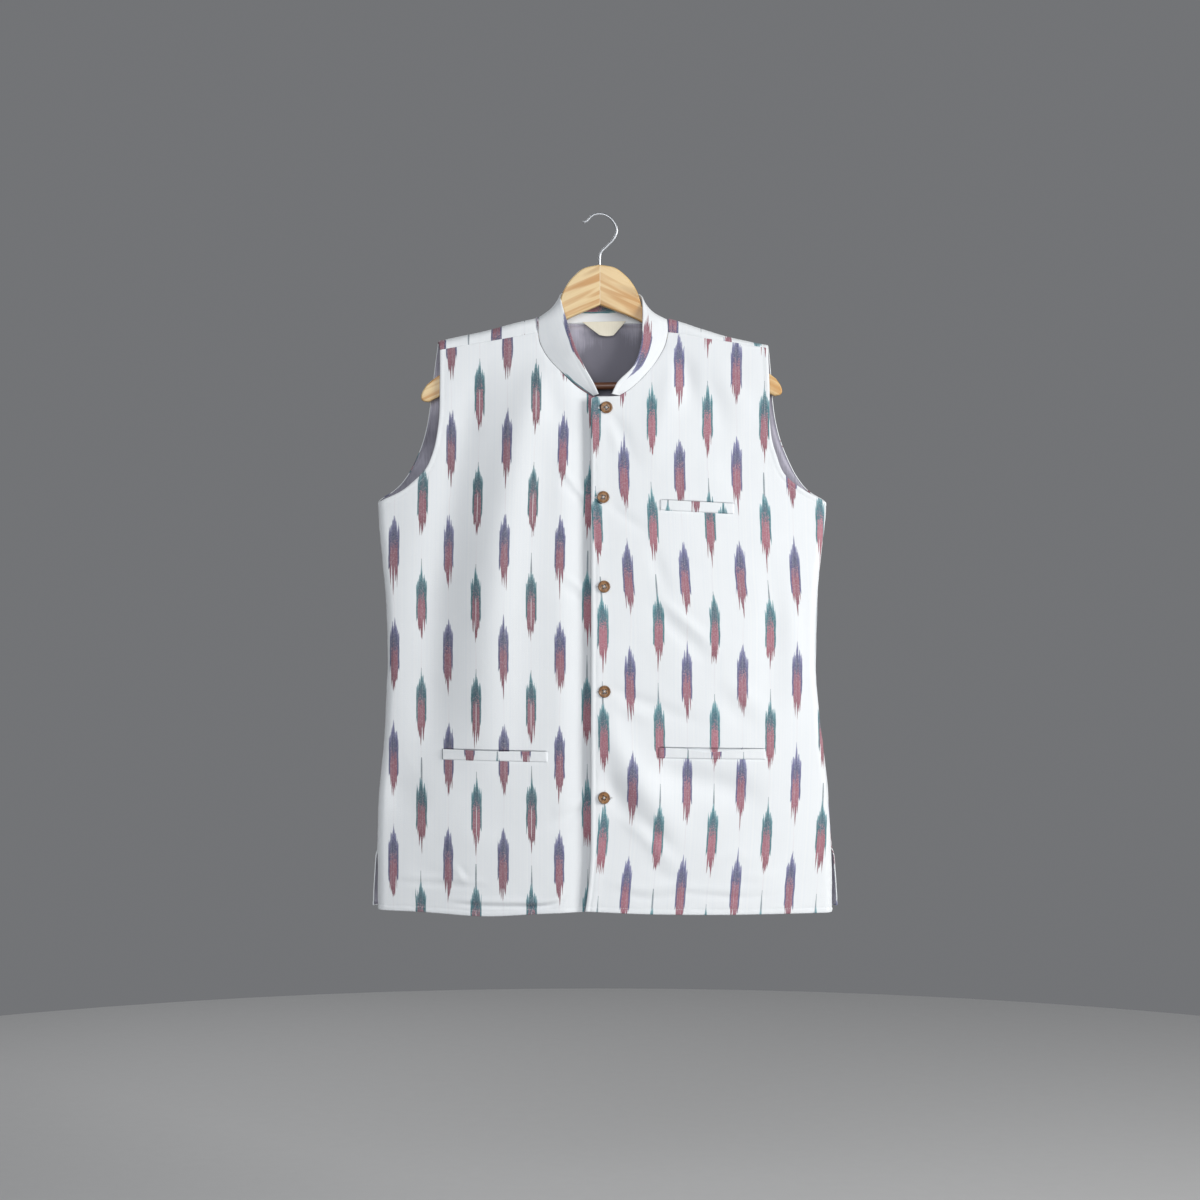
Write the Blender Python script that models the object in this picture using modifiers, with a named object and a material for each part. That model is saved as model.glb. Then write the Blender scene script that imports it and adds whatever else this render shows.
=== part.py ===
"""Sleeveless Nehru jacket hanging on a flat wooden hanger.

+X is the wearer's left, -Y faces the viewer, +Z is up. The origin is the underside of the
hook's crown, where a rail or a cord carries the hanger. All sizes here are in millimetres,
and MM turns them into Blender's metres.

The cloth is one tube, flattened over the hanger: it runs up the front, over a crest along
the shoulders and down the back, and turns round a soft fold at each side. A place on it is
(p, q): p is the distance across from the centre line, and q the distance from the shoulder
crest, positive down the front and negative down the back. Each panel is a grid of such
places between its cut edges, and body_points gives its shape in space.
"""

import math

import bmesh
import bpy
import numpy as np
from mathutils import Vector
from mathutils.bvhtree import BVHTree

MM = 0.001

# Cloth
WALL = 1.2              # shell cloth with its turned edges
LINING_WALL = 1.0
COLLAR_WALL = 2.0       # two layers and their interlining
WELT_WALL = 1.5
GAP = 0.3               # between pieces that lie on each other
LINING_GAP = 1.0        # the lining is eased, so it hangs a little off the back
SEAM_HALF_GAP = 0.6     # from a side seam's line to each panel's outer edge
SEAM_GAP = 0.5          # across the shoulder seams
COLLAR_LIFT = 1.6       # from the neck seam to the collar's lower edge
FOLD_RADIUS = 9.5       # of the turn over the shoulders and round the sides
QUARTER_TURN = FOLD_RADIUS * math.pi / 2
TURN_EXTRA = QUARTER_TURN - FOLD_RADIUS

# Closure: the wearer's left front lies over the right one
UNDERLAP_EDGE = 20.0    # x of the hidden edge of the right front
UNDERLAP_DROP = 7.5     # how far the right front lies behind the left one
UNDERLAP_FROM = -56.0   # where it starts to drop back
UNDERLAP_TO = -15.0
PLACKET_CORNER = 4.0

# Side slits
SLIT_TOP = -785.0
BACK_FLARE = 7.0        # how far the back stands out past the front at the hem

# Hanger
WOOD_THICK = 12.0
WOOD_EDGE = 2.0
HANGER_TILT = math.radians(1.0)
HANGER_PIVOT = (0.0, -110.0)
BAR_RADIUS = 4.7
BAR_HEIGHT = -213.0
BAR_HALF = 201.0
BAR_SOCKET = 5.1
SOCKET_HALF = 203.0
HOOK_WIRE = 1.75
JOINT_GAP = 0.15

# Buttons
BUTTON_RADIUS = 7.7
BUTTON_THICK = 2.6
BUTTON_STEPS = 20
THREAD_HOLE = 1.0
THREAD_SPREAD = 1.7
HOLE_STEPS = 8
BUTTON_LIFT = 1.0         # off the placket, on its thread

# Outline of the flattened tube: height, left edge, right edge. Above the armholes it is
# the line that the sides would follow if the cloth went on.
SIDES = [
    (-875, -276.5, 289.5),
    (-785, -277.5, 288.0),
    (-728, -276.0, 285.0),
    (-666, -270.5, 279.0),
    (-604, -266.5, 272.5),
    (-554, -264.7, 269.3),
    (-480, -267.2, 271.0),
    (-430, -271.6, 275.7),
    (-358, -277.0, 282.0),
    (-120, -277.0, 282.0),
]

# Crest of the shoulders: x, height. Between the neck points it only carries the form on.
CREST = [
    (-208, -158.0),
    (-150, -145.5),
    (-79, -128.0),
    (0, -118.0),
    (84, -129.0),
    (127, -142.5),
    (161, -152.5),
    (214, -163.0),
]

# Fullness of the tube: distance below the crest, front, back. It adds to the fold radius.
FULLNESS = [
    (0, 0, 0),
    (40, 1, 1),
    (110, 8, 5),
    (230, 18, 13),
    (400, 25, 20),
    (760, 30, 25),
]

# Largest folds of the fronts, each a soft ridge (rise over 0) or trough along its rows:
# x, height on the jacket, half width, rise. FOLD_STRENGTH multiplies every rise.
FOLD_STRENGTH = 1.7
FOLDS = [
    [(-56, -178, 18, 0), (-85, -228, 24, 3.0), (-110, -323, 30, 5), (-124, -414, 33, 5.5),
     (-134, -510, 35, 5.5), (-138, -600, 36, 4.5), (-146, -720, 38, 0)],
    [(-126, -178, 18, 0), (-155, -228, 22, -2.0), (-180, -323, 26, -3.5), (-194, -414, 28, -4),
     (-205, -490, 28, -4), (-210, -600, 28, -3), (-212, -700, 28, 0)],
    [(12, -592, 14, 0), (18, -655, 18, 3), (60, -722, 20, 4), (106, -775, 20, 0)],
    [(62, -688, 16, 0), (112, -703, 18, -4), (165, -715, 18, -3.5), (205, -735, 16, 0)],
    [(96, -165, 10, 0), (108, -205, 14, -2.5), (118, -255, 16, 0)],
]

# Cut edges, as x and height on the front or the back.
HEM_RIGHT = [(-276.5, -865.5), (-216, -867.0), (-142, -870.8), (-70, -867.0), (20, -864.0)]
HEM_LEFT = [(-18.4, -864.0), (51, -867.3), (140, -869.0), (228, -869.0), (289.4, -869.0)]
HEM_BACK = [(-283.5, -861.0), (-140, -863.0), (0, -864.0), (140, -863.0), (294.0, -861.0)]
SEAM_RIGHT = [(-77, -147.0), (-111, -153.5), (-155, -161.0), (-199.4, -169.0)]
SEAM_LEFT = [(85, -147.0), (106, -149.5), (129.5, -154.5), (161, -159.0), (209, -166.5)]
NECK_RIGHT = [(-10, -227.0), (-31, -213.0), (-52, -193.0), (-66, -177.0), (-75, -160.0),
              (-77, -147.0)]
NECK_LEFT = [(24, -226.5), (38, -218.0), (56, -201.0), (71, -182.0), (81, -164.0),
             (85, -147.0)]
ARMHOLE_FRONT_RIGHT = [(-276.5, -358.0), (-250, -346.0), (-236, -336.0), (-218, -318.5),
                       (-209, -300.0), (-203.6, -279.0), (-200, -250.0), (-199.4, -210.0),
                       (-199.4, -169.0)]
ARMHOLE_FRONT_LEFT = [(281.5, -358.0), (252, -342.0), (229, -323.0), (219.5, -300.0),
                      (213.5, -279.0), (211, -250.0), (211, -215.0), (209, -166.5)]
ARMHOLE_BACK_RIGHT = [(-276.5, -358.0), (-247, -332.0), (-228, -298.0), (-217.5, -265.0),
                      (-211.5, -226.0), (-206.5, -185.0)]
ARMHOLE_BACK_LEFT = [(281.5, -358.0), (254, -336.0), (234, -300.0), (222, -265.0),
                     (216, -226.0), (213.5, -185.0)]
PLACKET_EDGE = [(-18.4, -864.0), (-15.5, -843.0), (-12.5, -810.0), (-11, -736.0),
                (-11, -300.0), (-11, -232.5)]
BACK_NECK = [(-79.5, -128.0), (-62, -132.5), (-30, -134.3), (0, -134.6), (32, -134.3),
             (66, -132.8), (84.5, -129.0)]

LINING_NECK = [(-150, -159.0), (-100, -148.5), (-78, -142.5), (-62, -138.0), (-30, -137.5),
               (0, -137.5), (32, -137.5), (66, -138.5), (84, -143.0), (105, -149.5),
               (158, -165.5)]

# Top edge of the stand collar, from its right front end round the back to the left one.
COLLAR_TOP = [(-2, -15, -224.5), (-9, -18, -209.5), (-19, -21, -191.5), (-28.5, -22, -171.5),
              (-36, -20, -151.0), (-42, -17, -130.5), (-47.5, -10.5, -112.0),
              (-50.5, 0, -99.0), (-47.5, 10, -95.5), (-30, 15, -93.5), (0, 17, -92.5),
              (32, 15, -93.5), (49.5, 10, -96.5), (53, 0, -101.5), (53.5, -10, -114.0),
              (53, -17, -134.0), (51.5, -20.5, -162.0), (43.5, -23, -187.5),
              (32, -24.5, -200.5), (22, -25, -210.0), (15, -25, -225.0)]

# Welts: name, the panel they lie on, x of both ends, height of the mouth at both ends
WELTS = [
    ("welt_chest", "front_left", 74.0, 166.0, -356.0, -360.5),
    ("welt_hip_right", "front_right", -196.0, -64.5, -664.5, -667.0),
    ("welt_hip_left", "front_left", 72.0, 205.0, -662.0, -664.5),
]
WELT_HEIGHT = 13.5
BUTTON_AT = [(8.0, -241.5), (4.0, -353.0), (5.0, -463.5), (5.6, -593.0), (4.4, -724.0)]

LABEL_CENTRE = 5.0
LABEL_TOP = -135.5
LABEL_HEIGHT = 17.0
LABEL_TOP_HALF = 27.0
LABEL_BOTTOM_HALF = 12.0

# Half of the hanger's wood: x, height. The upper edge runs from the middle to the tip.
WOOD_UPPER = [(0, -64.0), (18.6, -68.0), (31.6, -78.0), (39.7, -88.0), (45.5, -99.0),
              (49, -111.0), (55, -124.0), (65, -134.0), (80, -142.5), (120, -160.0),
              (165, -180.0), (200, -197.5), (216, -209.0)]
WOOD_TIP = [(222, -218.5), (222.5, -225.5), (216, -227.5)]
WOOD_LOWER = [(196, -218.0), (150, -195.0), (100, -166.0), (51, -132.0), (0, -110.0)]

# Hook of round wire, in the hanger's plane, from its free end to where it enters the wood.
HOOK_ROUTE = [(-21.8, -8.8), (-18.5, -8.2), (-15.0, -6.2), (-12, -2.6), (-7.4, 0.6), (0, 1.75),
              (7, 0.3), (13.6, -4.0), (18.6, -10.4), (21.0, -18.0), (20.0, -24.2), (16.4, -31.0),
              (11.3, -36.4), (5.4, -42.0), (1.4, -46.6), (-0.2, -52.0), (-0.4, -63.7)]

COLOURS = {  # base colour, roughness, metallic
    "shell_cloth": ((0.80, 0.82, 0.84), 0.85, 0.0),
    "lining_cloth": ((0.50, 0.49, 0.55), 0.80, 0.0),
    "label_cloth": ((0.80, 0.77, 0.68), 0.75, 0.0),
    "coconut_shell": ((0.25, 0.13, 0.06), 0.45, 0.0),
    "pale_wood": ((0.72, 0.50, 0.25), 0.40, 0.0),
    "bar_wood": ((0.42, 0.22, 0.11), 0.45, 0.0),
    "steel_wire": ((0.72, 0.73, 0.75), 0.25, 1.0),
}


# --- curves and tables -------------------------------------------------------------------

def smooth(table, at, column):
    """A column of a table, read at values of its first column and joined without overshoot."""
    rows = np.array(sorted(table), float)
    xs, ys = rows[:, 0], rows[:, column]
    steps = np.diff(xs)
    slopes = np.diff(ys) / steps
    product, total = slopes[:-1] * slopes[1:], slopes[:-1] + slopes[1:]
    inner = np.divide(2 * product, total, out=np.zeros_like(total), where=product > 0)
    tangents = np.concatenate([slopes[:1], inner, slopes[-1:]])
    i = np.clip(np.searchsorted(xs, at) - 1, 0, len(steps) - 1)
    t = np.clip((at - xs[i]) / steps[i], 0, 1)
    rise = (3 - 2 * t) * t * t
    return (
        ys[i] * (1 - rise)
        + ys[i + 1] * rise
        + steps[i] * t * (1 - t) * (tangents[i] * (1 - t) - tangents[i + 1] * t)
    )


def ease(t):
    """0 to 1 with a soft start and end."""
    t = np.clip(t, 0, 1)
    return t * t * (3 - 2 * t)


def spline(points, per_span=12):
    """A smooth dense line through a few points, by Catmull-Rom."""
    known = np.array(points, float)
    ends = np.vstack([2 * known[0] - known[1], known, 2 * known[-1] - known[-2]])
    line = [known[:1]]
    for a, b, c, d in zip(ends, ends[1:], ends[2:], ends[3:]):
        t = (np.arange(per_span) + 1)[:, None] / per_span
        line.append(
            0.5 * (2 * b + (c - a) * t + (2 * a - 5 * b + 4 * c - d) * t**2
                   + (3 * b - a - 3 * c + d) * t**3)
        )
    return np.vstack(line)


def lengths(line):
    """Distance along a line at each of its points."""
    return np.concatenate([[0], np.cumsum(np.linalg.norm(np.diff(line, axis=0), axis=1))])


def spaced(line, at):
    """Points of a line at these shares of its length."""
    along = lengths(line)
    want = np.asarray(at, float) * along[-1]
    return np.stack([np.interp(want, along, line[:, k]) for k in range(line.shape[1])], 1)


def even(count):
    return np.arange(count + 1) / count


# --- the form of the cloth ---------------------------------------------------------------

def half_width(z, sign, back):
    """Distance from the centre line to the side fold, on the side of that sign."""
    width = np.where(sign < 0, -smooth(SIDES, z, 1), smooth(SIDES, z, 2))
    flare = 0.45 * ease((SLIT_TOP - z) / 9) + 0.55 * ease((SLIT_TOP - z) / 80)
    return width + np.where(back, BACK_FLARE * flare, 0)


def place_of(x, z, back=False):
    """(p, q) of a point of the outline given as seen from the front."""
    x, z = np.asarray(x, float), np.asarray(z, float)
    sign = np.where(x < 0, -1.0, 1.0)
    width = half_width(z, sign, back)
    inset = np.clip(width - np.abs(x), 0, None)
    drop = np.clip(smooth(CREST, x, 1) - z, 0, None)
    p = sign * (width + TURN_EXTRA - path_round(inset))
    q = path_round(drop) * (-1 if back else 1)
    return np.stack([p, q], -1)


def path_round(inset):
    """Length of cloth from a fold to where it lies this far inside the fold."""
    turning = FOLD_RADIUS * np.arccos(np.clip(1 - inset / FOLD_RADIUS, -1, 1))
    return np.where(inset < FOLD_RADIUS, turning, inset + TURN_EXTRA)


def inset_round(path, inward=0.0):
    """How far inside the fold the cloth lies, for a layer this far inward of the outer face."""
    angle = np.clip(path, 0, QUARTER_TURN) / FOLD_RADIUS
    turning = FOLD_RADIUS - (FOLD_RADIUS - inward) * np.cos(angle)
    return np.where(path < QUARTER_TURN, turning, path - TURN_EXTRA)


def fold_rise(x, z):
    """How far the folds lift the front towards the viewer."""
    rise = np.zeros_like(x)
    for rows in FOLDS:
        line = spline(rows, 10)
        away = (x[..., None] - line[:, 0]) ** 2 + (z[..., None] - line[:, 1]) ** 2
        near = np.argmin(away, axis=-1)
        squared = np.take_along_axis(away, near[..., None], -1)[..., 0]
        step = np.gradient(line[:, :2], axis=0)[near]
        along = (x - line[near, 0]) * step[..., 0] + (z - line[near, 1]) * step[..., 1]
        size = (step**2).sum(-1)
        part = np.clip(along / size, -0.5, 0.5)
        place = np.clip(near + part, 0, len(line) - 1)
        squared = squared - (place - near) ** 2 * size
        count = np.arange(len(line))
        width, height = np.interp(place, count, line[:, 2]), np.interp(place, count, line[:, 3])
        rise += height * np.exp(-squared / width**2)
    return rise


def body_points(places, inward=0.0, underlap=False):
    """Points in space at places (p, q), this far inward of the cloth's outer face."""
    p, q = places[..., 0], places[..., 1]
    front = q > 0
    sign = np.where(p < 0, -1.0, 1.0)
    drop = inset_round(np.abs(q), inward)
    z = smooth(CREST, p, 1) - drop
    width = half_width(z, sign, ~front)
    path = np.clip(width + TURN_EXTRA - np.abs(p), 0, None)
    inset = inset_round(path, inward)
    x = sign * (width - inset)
    turned = np.minimum(np.minimum(path, np.abs(q)), QUARTER_TURN)
    full = np.where(front, smooth(FULLNESS, drop, 1), smooth(FULLNESS, drop, 2))
    swell = 1 - (1 - np.clip(inset / width, 0, 1)) ** 2.2
    depth = (FOLD_RADIUS - inward) * np.sin(turned / FOLD_RADIUS) + full * swell
    soft = ease(inset / 25) * ease(np.abs(q) / 30)
    depth += np.where(front, FOLD_STRENGTH * fold_rise(x, z) * soft, 0)
    if underlap:
        behind = ease((x - UNDERLAP_FROM) / (UNDERLAP_TO - UNDERLAP_FROM))
        depth -= UNDERLAP_DROP * behind**1.25
    return np.stack([x, np.where(front, -1.0, 1.0) * depth, z], -1)


def on_front(points):
    line = np.array(points, float)
    return place_of(line[:, 0], line[:, 1])


def on_back(points):
    line = np.array(points, float)
    return place_of(line[:, 0], line[:, 1], back=True)


def patch(bottom, top, left, right):
    """Grid of places between four edges with the same counts of points (a Coons patch)."""
    s = (lengths(bottom) / lengths(bottom)[-1])[None, :, None]
    t = (lengths(left) / lengths(left)[-1])[:, None, None]
    across = (1 - s) * left[:, None] + s * right[:, None]
    along = (1 - t) * bottom[None] + t * top[None]
    corners = (
        (1 - s) * (1 - t) * bottom[0] + s * (1 - t) * bottom[-1]
        + (1 - s) * t * top[0] + s * t * top[-1]
    )
    return across + along - corners


# --- making objects ----------------------------------------------------------------------

def clear_scene():
    for obj in list(bpy.data.objects):
        bpy.data.objects.remove(obj)


def collection(name):
    made = bpy.data.collections.new(name)
    bpy.context.scene.collection.children.link(made)
    return made


def material(name):
    found = bpy.data.materials.get(name)
    if found:
        return found
    made = bpy.data.materials.new(name)
    made.use_nodes = True
    colour, roughness, metallic = COLOURS[name]
    shader = made.node_tree.nodes["Principled BSDF"]
    shader.inputs["Base Color"].default_value = (*colour, 1)
    shader.inputs["Roughness"].default_value = roughness
    shader.inputs["Metallic"].default_value = metallic
    return made


def add_object(name, data, finish, home):
    obj = bpy.data.objects.new(name, data)
    if not data.materials:
        data.materials.append(material(finish))
    home.objects.link(obj)
    return obj


def sheet_mesh(name, grid, flip=False):
    """An open surface through a grid of points in millimetres."""
    rows, columns = grid.shape[:2]
    shape = bmesh.new()
    verts = [[shape.verts.new(Vector(point) * MM) for point in row] for row in grid]
    for i in range(rows - 1):
        for j in range(columns - 1):
            corners = [verts[i][j], verts[i][j + 1], verts[i + 1][j + 1], verts[i + 1][j]]
            shape.faces.new(corners[::-1] if flip else corners)
    mesh = bpy.data.meshes.new(name)
    shape.to_mesh(mesh)
    shape.free()
    mesh.shade_smooth()
    return mesh


def add_wall(name, grid, thickness, finish, home, flip=False):
    """A sheet given its thickness on its inner side."""
    obj = add_object(name, sheet_mesh(name, grid, flip), finish, home)
    wall = obj.modifiers.new("wall", "SOLIDIFY")
    wall.thickness = thickness * MM
    wall.offset = -1.0
    return obj


# --- cloth pieces ------------------------------------------------------------------------

ARMHOLE_ROWS = 8
SIDE_ROWS = 13
SHOULDER_COLUMNS = 8
NECK_COLUMNS = 6
SIDE_STEPS = (5.0, 10.0, 15.0)      # columns that round the side fold
TOP_STEPS = (2.5, 6.0, 12.0)        # rows next to the shoulder seam


def toward_end(line, count, steps):
    """Shares of a line's length: even, then closing up at these distances from its end."""
    total = lengths(line)[-1]
    near = [1 - step / total for step in sorted(steps, reverse=True)]
    return np.concatenate([np.linspace(0, near[0], count - len(steps) + 1), near[1:], [1.0]])


def shoulder_line(points, at_armhole=True):
    line = on_front(spline(points))
    if at_armhole:
        return spaced(line, toward_end(line, SHOULDER_COLUMNS, SIDE_STEPS))
    return spaced(line, even(SHOULDER_COLUMNS))


def inside_seam(line, sign):
    """A side edge moved off its seam line."""
    moved = line.copy()
    moved[:, 0] -= sign * SEAM_HALF_GAP
    return moved


def side_and_armhole(hem_corner, armhole, sign, back):
    """The outer edge of a panel, from the hem up the side seam and round the armhole."""
    place = on_back if back else on_front
    underarm_z = armhole[0][1]
    heights = np.linspace(hem_corner[1], underarm_z, 60)
    edge = half_width(heights, np.full_like(heights, sign), np.full(60, back))
    seam = place(np.stack([sign * edge, heights], 1))
    seam = inside_seam(seam, sign)
    hole = place(spline(armhole))
    hole[0] = seam[-1]
    return seam, hole


def front_grid(side, underlap):
    """Places of one front, from its free edge at the centre to its side."""
    right = side == "right"
    hem = on_front(spline(HEM_RIGHT if right else HEM_LEFT))
    neck = on_front(spline(NECK_RIGHT if right else NECK_LEFT))
    shoulder = shoulder_line(SEAM_RIGHT if right else SEAM_LEFT)
    shoulder[:, 1] += SEAM_GAP
    armhole = ARMHOLE_FRONT_RIGHT if right else ARMHOLE_FRONT_LEFT
    sign = -1.0 if right else 1.0
    corner = HEM_RIGHT[0] if right else HEM_LEFT[-1]
    seam, hole = side_and_armhole(corner, armhole, sign, back=False)
    hole = spaced(hole, toward_end(hole, ARMHOLE_ROWS, TOP_STEPS))
    hole[-1] = shoulder[-1]
    outer = np.vstack([spaced(seam, even(SIDE_ROWS))[:-1], hole])
    if right:
        free = on_front([(UNDERLAP_EDGE, HEM_RIGHT[-1][1]), (UNDERLAP_EDGE, NECK_RIGHT[0][1])])
        hem = hem[::-1]
        start = on_front([(UNDERLAP_EDGE, NECK_RIGHT[0][1]), NECK_RIGHT[0]])
    else:
        free = on_front(spline(PLACKET_EDGE))
        start = on_front([
            PLACKET_EDGE[-1],
            (-11 + 0.3 * PLACKET_CORNER, -232.5 + 0.7 * PLACKET_CORNER),
            (-11 + PLACKET_CORNER, -232.5 + PLACKET_CORNER),
            NECK_LEFT[0],
        ])
    top = np.vstack([
        spaced(start, even(2))[:-1],
        spaced(neck, even(NECK_COLUMNS))[:-1],
        shoulder,
    ])
    hem[0] = free[0]
    hem[-1] = outer[0]
    bottom = spaced(hem, toward_end(hem, len(top) - 1, SIDE_STEPS))
    inner = spaced(free, toward_end(free, len(outer) - 1, TOP_STEPS))
    inner[-1] = top[0]
    return patch(bottom, top, inner, outer)


def back_grid():
    """Places of the back, which wraps over the crest to the shoulder seams in front."""
    seams, holes = [], []
    for armhole, sign, corner in (
        (ARMHOLE_BACK_RIGHT, -1.0, HEM_BACK[0]),
        (ARMHOLE_BACK_LEFT, 1.0, HEM_BACK[-1]),
    ):
        seam, hole = side_and_armhole(corner, armhole, sign, back=True)
        seams.append(seam)
        holes.append(hole)
    right_top = shoulder_line(SEAM_RIGHT)[::-1]
    left_top = shoulder_line(SEAM_LEFT)
    edges = []
    for seam, hole, tip in ((seams[0], holes[0], right_top[0]), (seams[1], holes[1], left_top[-1])):
        over = spline([*hole[::8], ((hole[-1] + tip) / 2), tip], 4)
        over = spaced(over, toward_end(over, ARMHOLE_ROWS + 3, (4, 8, 13, 18, 23, 28, 34)))
        over[0] = seam[-1]
        edges.append(np.vstack([spaced(seam, even(SIDE_ROWS))[:-1], over]))
    back_neck = on_back(spline(BACK_NECK))
    neck = np.vstack([
        np.linspace(right_top[-1], back_neck[0], 4)[:-1],
        spaced(back_neck, even(10))[:-1],
        np.linspace(back_neck[-1], left_top[0], 4)[:-1],
    ])
    top = np.vstack([right_top[:-1], neck, left_top])
    hem = on_back(spline(HEM_BACK))
    hem[0], hem[-1] = edges[0][0], edges[1][0]
    total = lengths(hem)[-1]
    near = np.array([0, *SIDE_STEPS]) / total
    middle = np.linspace(near[-1], 1 - near[-1], len(top) - 2 * len(SIDE_STEPS))
    shares = np.concatenate([near[:-1], middle, 1 - near[:-1][::-1]])
    bottom = spaced(hem, shares)
    return patch(bottom, top, edges[0], edges[1])


def lining_grid():
    """Places of the back lining, a little inside the back's edges."""
    heights = np.linspace(-852.0, -372.0, 40)
    edges = []
    for armhole, sign in ((ARMHOLE_BACK_RIGHT, -1.0), (ARMHOLE_BACK_LEFT, 1.0)):
        reach = half_width(heights, np.full(40, sign), np.full(40, False)) - 12.0
        seam = on_back(np.stack([sign * reach, heights], 1))
        hole = on_back(spline([(x - sign * 6.0, z) for x, z in armhole[1:]]))
        edge = np.vstack([seam, hole[8:]])
        edges.append(spaced(edge, even(18)))
    neck = on_back(spline(LINING_NECK))
    top = spaced(np.vstack([edges[0][-1:], neck, edges[1][-1:]]), even(18))
    hem = on_back([(-268.0, -852.0), (0, -853.0), (274.0, -852.0)])
    hem[0], hem[-1] = edges[0][0], edges[1][0]
    return patch(spaced(hem, even(18)), top, edges[0], edges[1])


def collar_grid():
    """Points of the stand collar, from the neck seam to its top edge."""
    front_right = body_points(spaced(on_front(spline(NECK_RIGHT)), even(8)), underlap=True)
    front_left = body_points(spaced(on_front(spline(NECK_LEFT)), even(8)))
    over_right = body_points(np.linspace(
        on_front([SEAM_RIGHT[0]])[0], on_back([BACK_NECK[0]])[0], 4))
    over_left = body_points(np.linspace(
        on_back([BACK_NECK[-1]])[0], on_front([SEAM_LEFT[0]])[0], 4))
    across = body_points(spaced(on_back(spline(BACK_NECK)), even(10)))
    base = np.vstack([
        front_right[:-1], over_right[:-1], across[:-1], over_left[:-1], front_left[::-1],
    ])
    top_line = spline(COLLAR_TOP)
    shares = lengths(base) / lengths(base)[-1]
    top = spaced(top_line, shares)
    rise = top - base
    rise /= np.linalg.norm(rise, axis=1)[:, None]
    foot = base + rise * COLLAR_LIFT
    heights = np.linspace(0, 1, 4)[:, None, None]
    return foot * (1 - heights) + top * heights


def add_cloth(home):
    fronts = {}
    for side in ("right", "left"):
        name = f"front_{side}"
        places = front_grid(side, underlap=side == "right")
        grid = body_points(places, underlap=side == "right")
        fronts[name] = add_wall(name, grid, WALL, "shell_cloth", home, flip=side == "right")
    add_wall("back", body_points(back_grid()), WALL, "shell_cloth", home, flip=True)
    lining = body_points(lining_grid(), inward=WALL + LINING_GAP)
    add_wall("lining_back", lining, LINING_WALL, "lining_cloth", home, flip=True)
    add_wall("collar", collar_grid(), COLLAR_WALL, "shell_cloth", home)
    return fronts


# --- pieces that lie on the fronts -------------------------------------------------------

def face_under(panel):
    """Finds the point and the outward normal of a panel's outer face at x and height."""
    graph = bpy.context.evaluated_depsgraph_get()
    tree = BVHTree.FromObject(panel, graph)

    def find(x, z):
        start = Vector((x * MM, -0.5, z * MM))
        point, normal, _, _ = tree.ray_cast(start, Vector((0, 1, 0)))
        return point / MM, (normal if normal.y < 0 else -normal)

    return find


def add_welts(fronts, home):
    """Single welts, each a folded strip across its pocket mouth."""
    columns, rows = 10, 2
    for name, panel, start, end, start_z, end_z in WELTS:
        find = face_under(fronts[panel])
        grid = np.zeros((rows + 1, columns + 1, 3))
        for i in range(rows + 1):
            for j in range(columns + 1):
                share = j / columns
                x = start + (end - start) * share
                mouth = start_z + (end_z - start_z) * share
                z = mouth - WELT_HEIGHT * (1 - i / rows)
                point, normal = find(x, z)
                grid[i, j] = point + normal * (2 * GAP + WELT_WALL)
        add_wall(name, grid, WELT_WALL, "shell_cloth", home)


def button_mesh():
    """A turned disc with a raised rim and four thread holes."""
    profile = [
        (0.0, 0.0), (BUTTON_RADIUS - 1.2, 0.0), (BUTTON_RADIUS, 0.9),
        (BUTTON_RADIUS - 0.3, BUTTON_THICK - 0.3), (BUTTON_RADIUS - 1.0, BUTTON_THICK),
        (BUTTON_RADIUS - 2.0, BUTTON_THICK - 0.8), (0.0, BUTTON_THICK - 0.8),
    ]
    shape = bmesh.new()
    verts = [shape.verts.new((r * MM, 0, h * MM)) for r, h in reversed(profile)]
    for a, b in zip(verts, verts[1:]):
        shape.edges.new((a, b))
    outline = bpy.data.meshes.new("button_outline")
    shape.to_mesh(outline)
    shape.free()
    disc = bpy.data.objects.new("button_disc", outline)
    bpy.context.scene.collection.objects.link(disc)
    turned = disc.modifiers.new("turned", "SCREW")
    turned.steps = turned.render_steps = BUTTON_STEPS
    turned.use_merge_vertices = True
    turned.merge_threshold = 0.00001
    drill = bmesh.new()
    for k in range(4):
        angle = math.pi / 4 + k * math.pi / 2
        made = bmesh.ops.create_cone(
            drill, cap_ends=True, segments=HOLE_STEPS, depth=4 * BUTTON_THICK * MM,
            radius1=THREAD_HOLE * MM, radius2=THREAD_HOLE * MM)
        shift = Vector((math.cos(angle), math.sin(angle), 0)) * THREAD_SPREAD * MM
        bmesh.ops.translate(drill, verts=made["verts"], vec=shift)
    drill_mesh = bpy.data.meshes.new("thread_holes")
    drill.to_mesh(drill_mesh)
    drill.free()
    drills = bpy.data.objects.new("thread_holes", drill_mesh)
    bpy.context.scene.collection.objects.link(drills)
    cut = disc.modifiers.new("thread_holes", "BOOLEAN")
    cut.object = drills
    bpy.context.view_layer.update()
    graph = bpy.context.evaluated_depsgraph_get()
    mesh = bpy.data.meshes.new_from_object(disc.evaluated_get(graph))
    mesh.name = "button"
    mesh.materials.clear()
    bpy.data.objects.remove(disc)
    bpy.data.objects.remove(drills)
    return mesh


def add_buttons(panel, home):
    mesh = button_mesh()
    find = face_under(panel)
    for number, (x, z) in enumerate(BUTTON_AT, 1):
        point, normal = find(x, z)
        button = add_object(f"button_{number}", mesh, "coconut_shell", home)
        button.location = (point + normal * BUTTON_LIFT) * MM
        button.rotation_euler = normal.to_track_quat("Z", "Y").to_euler()


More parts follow.
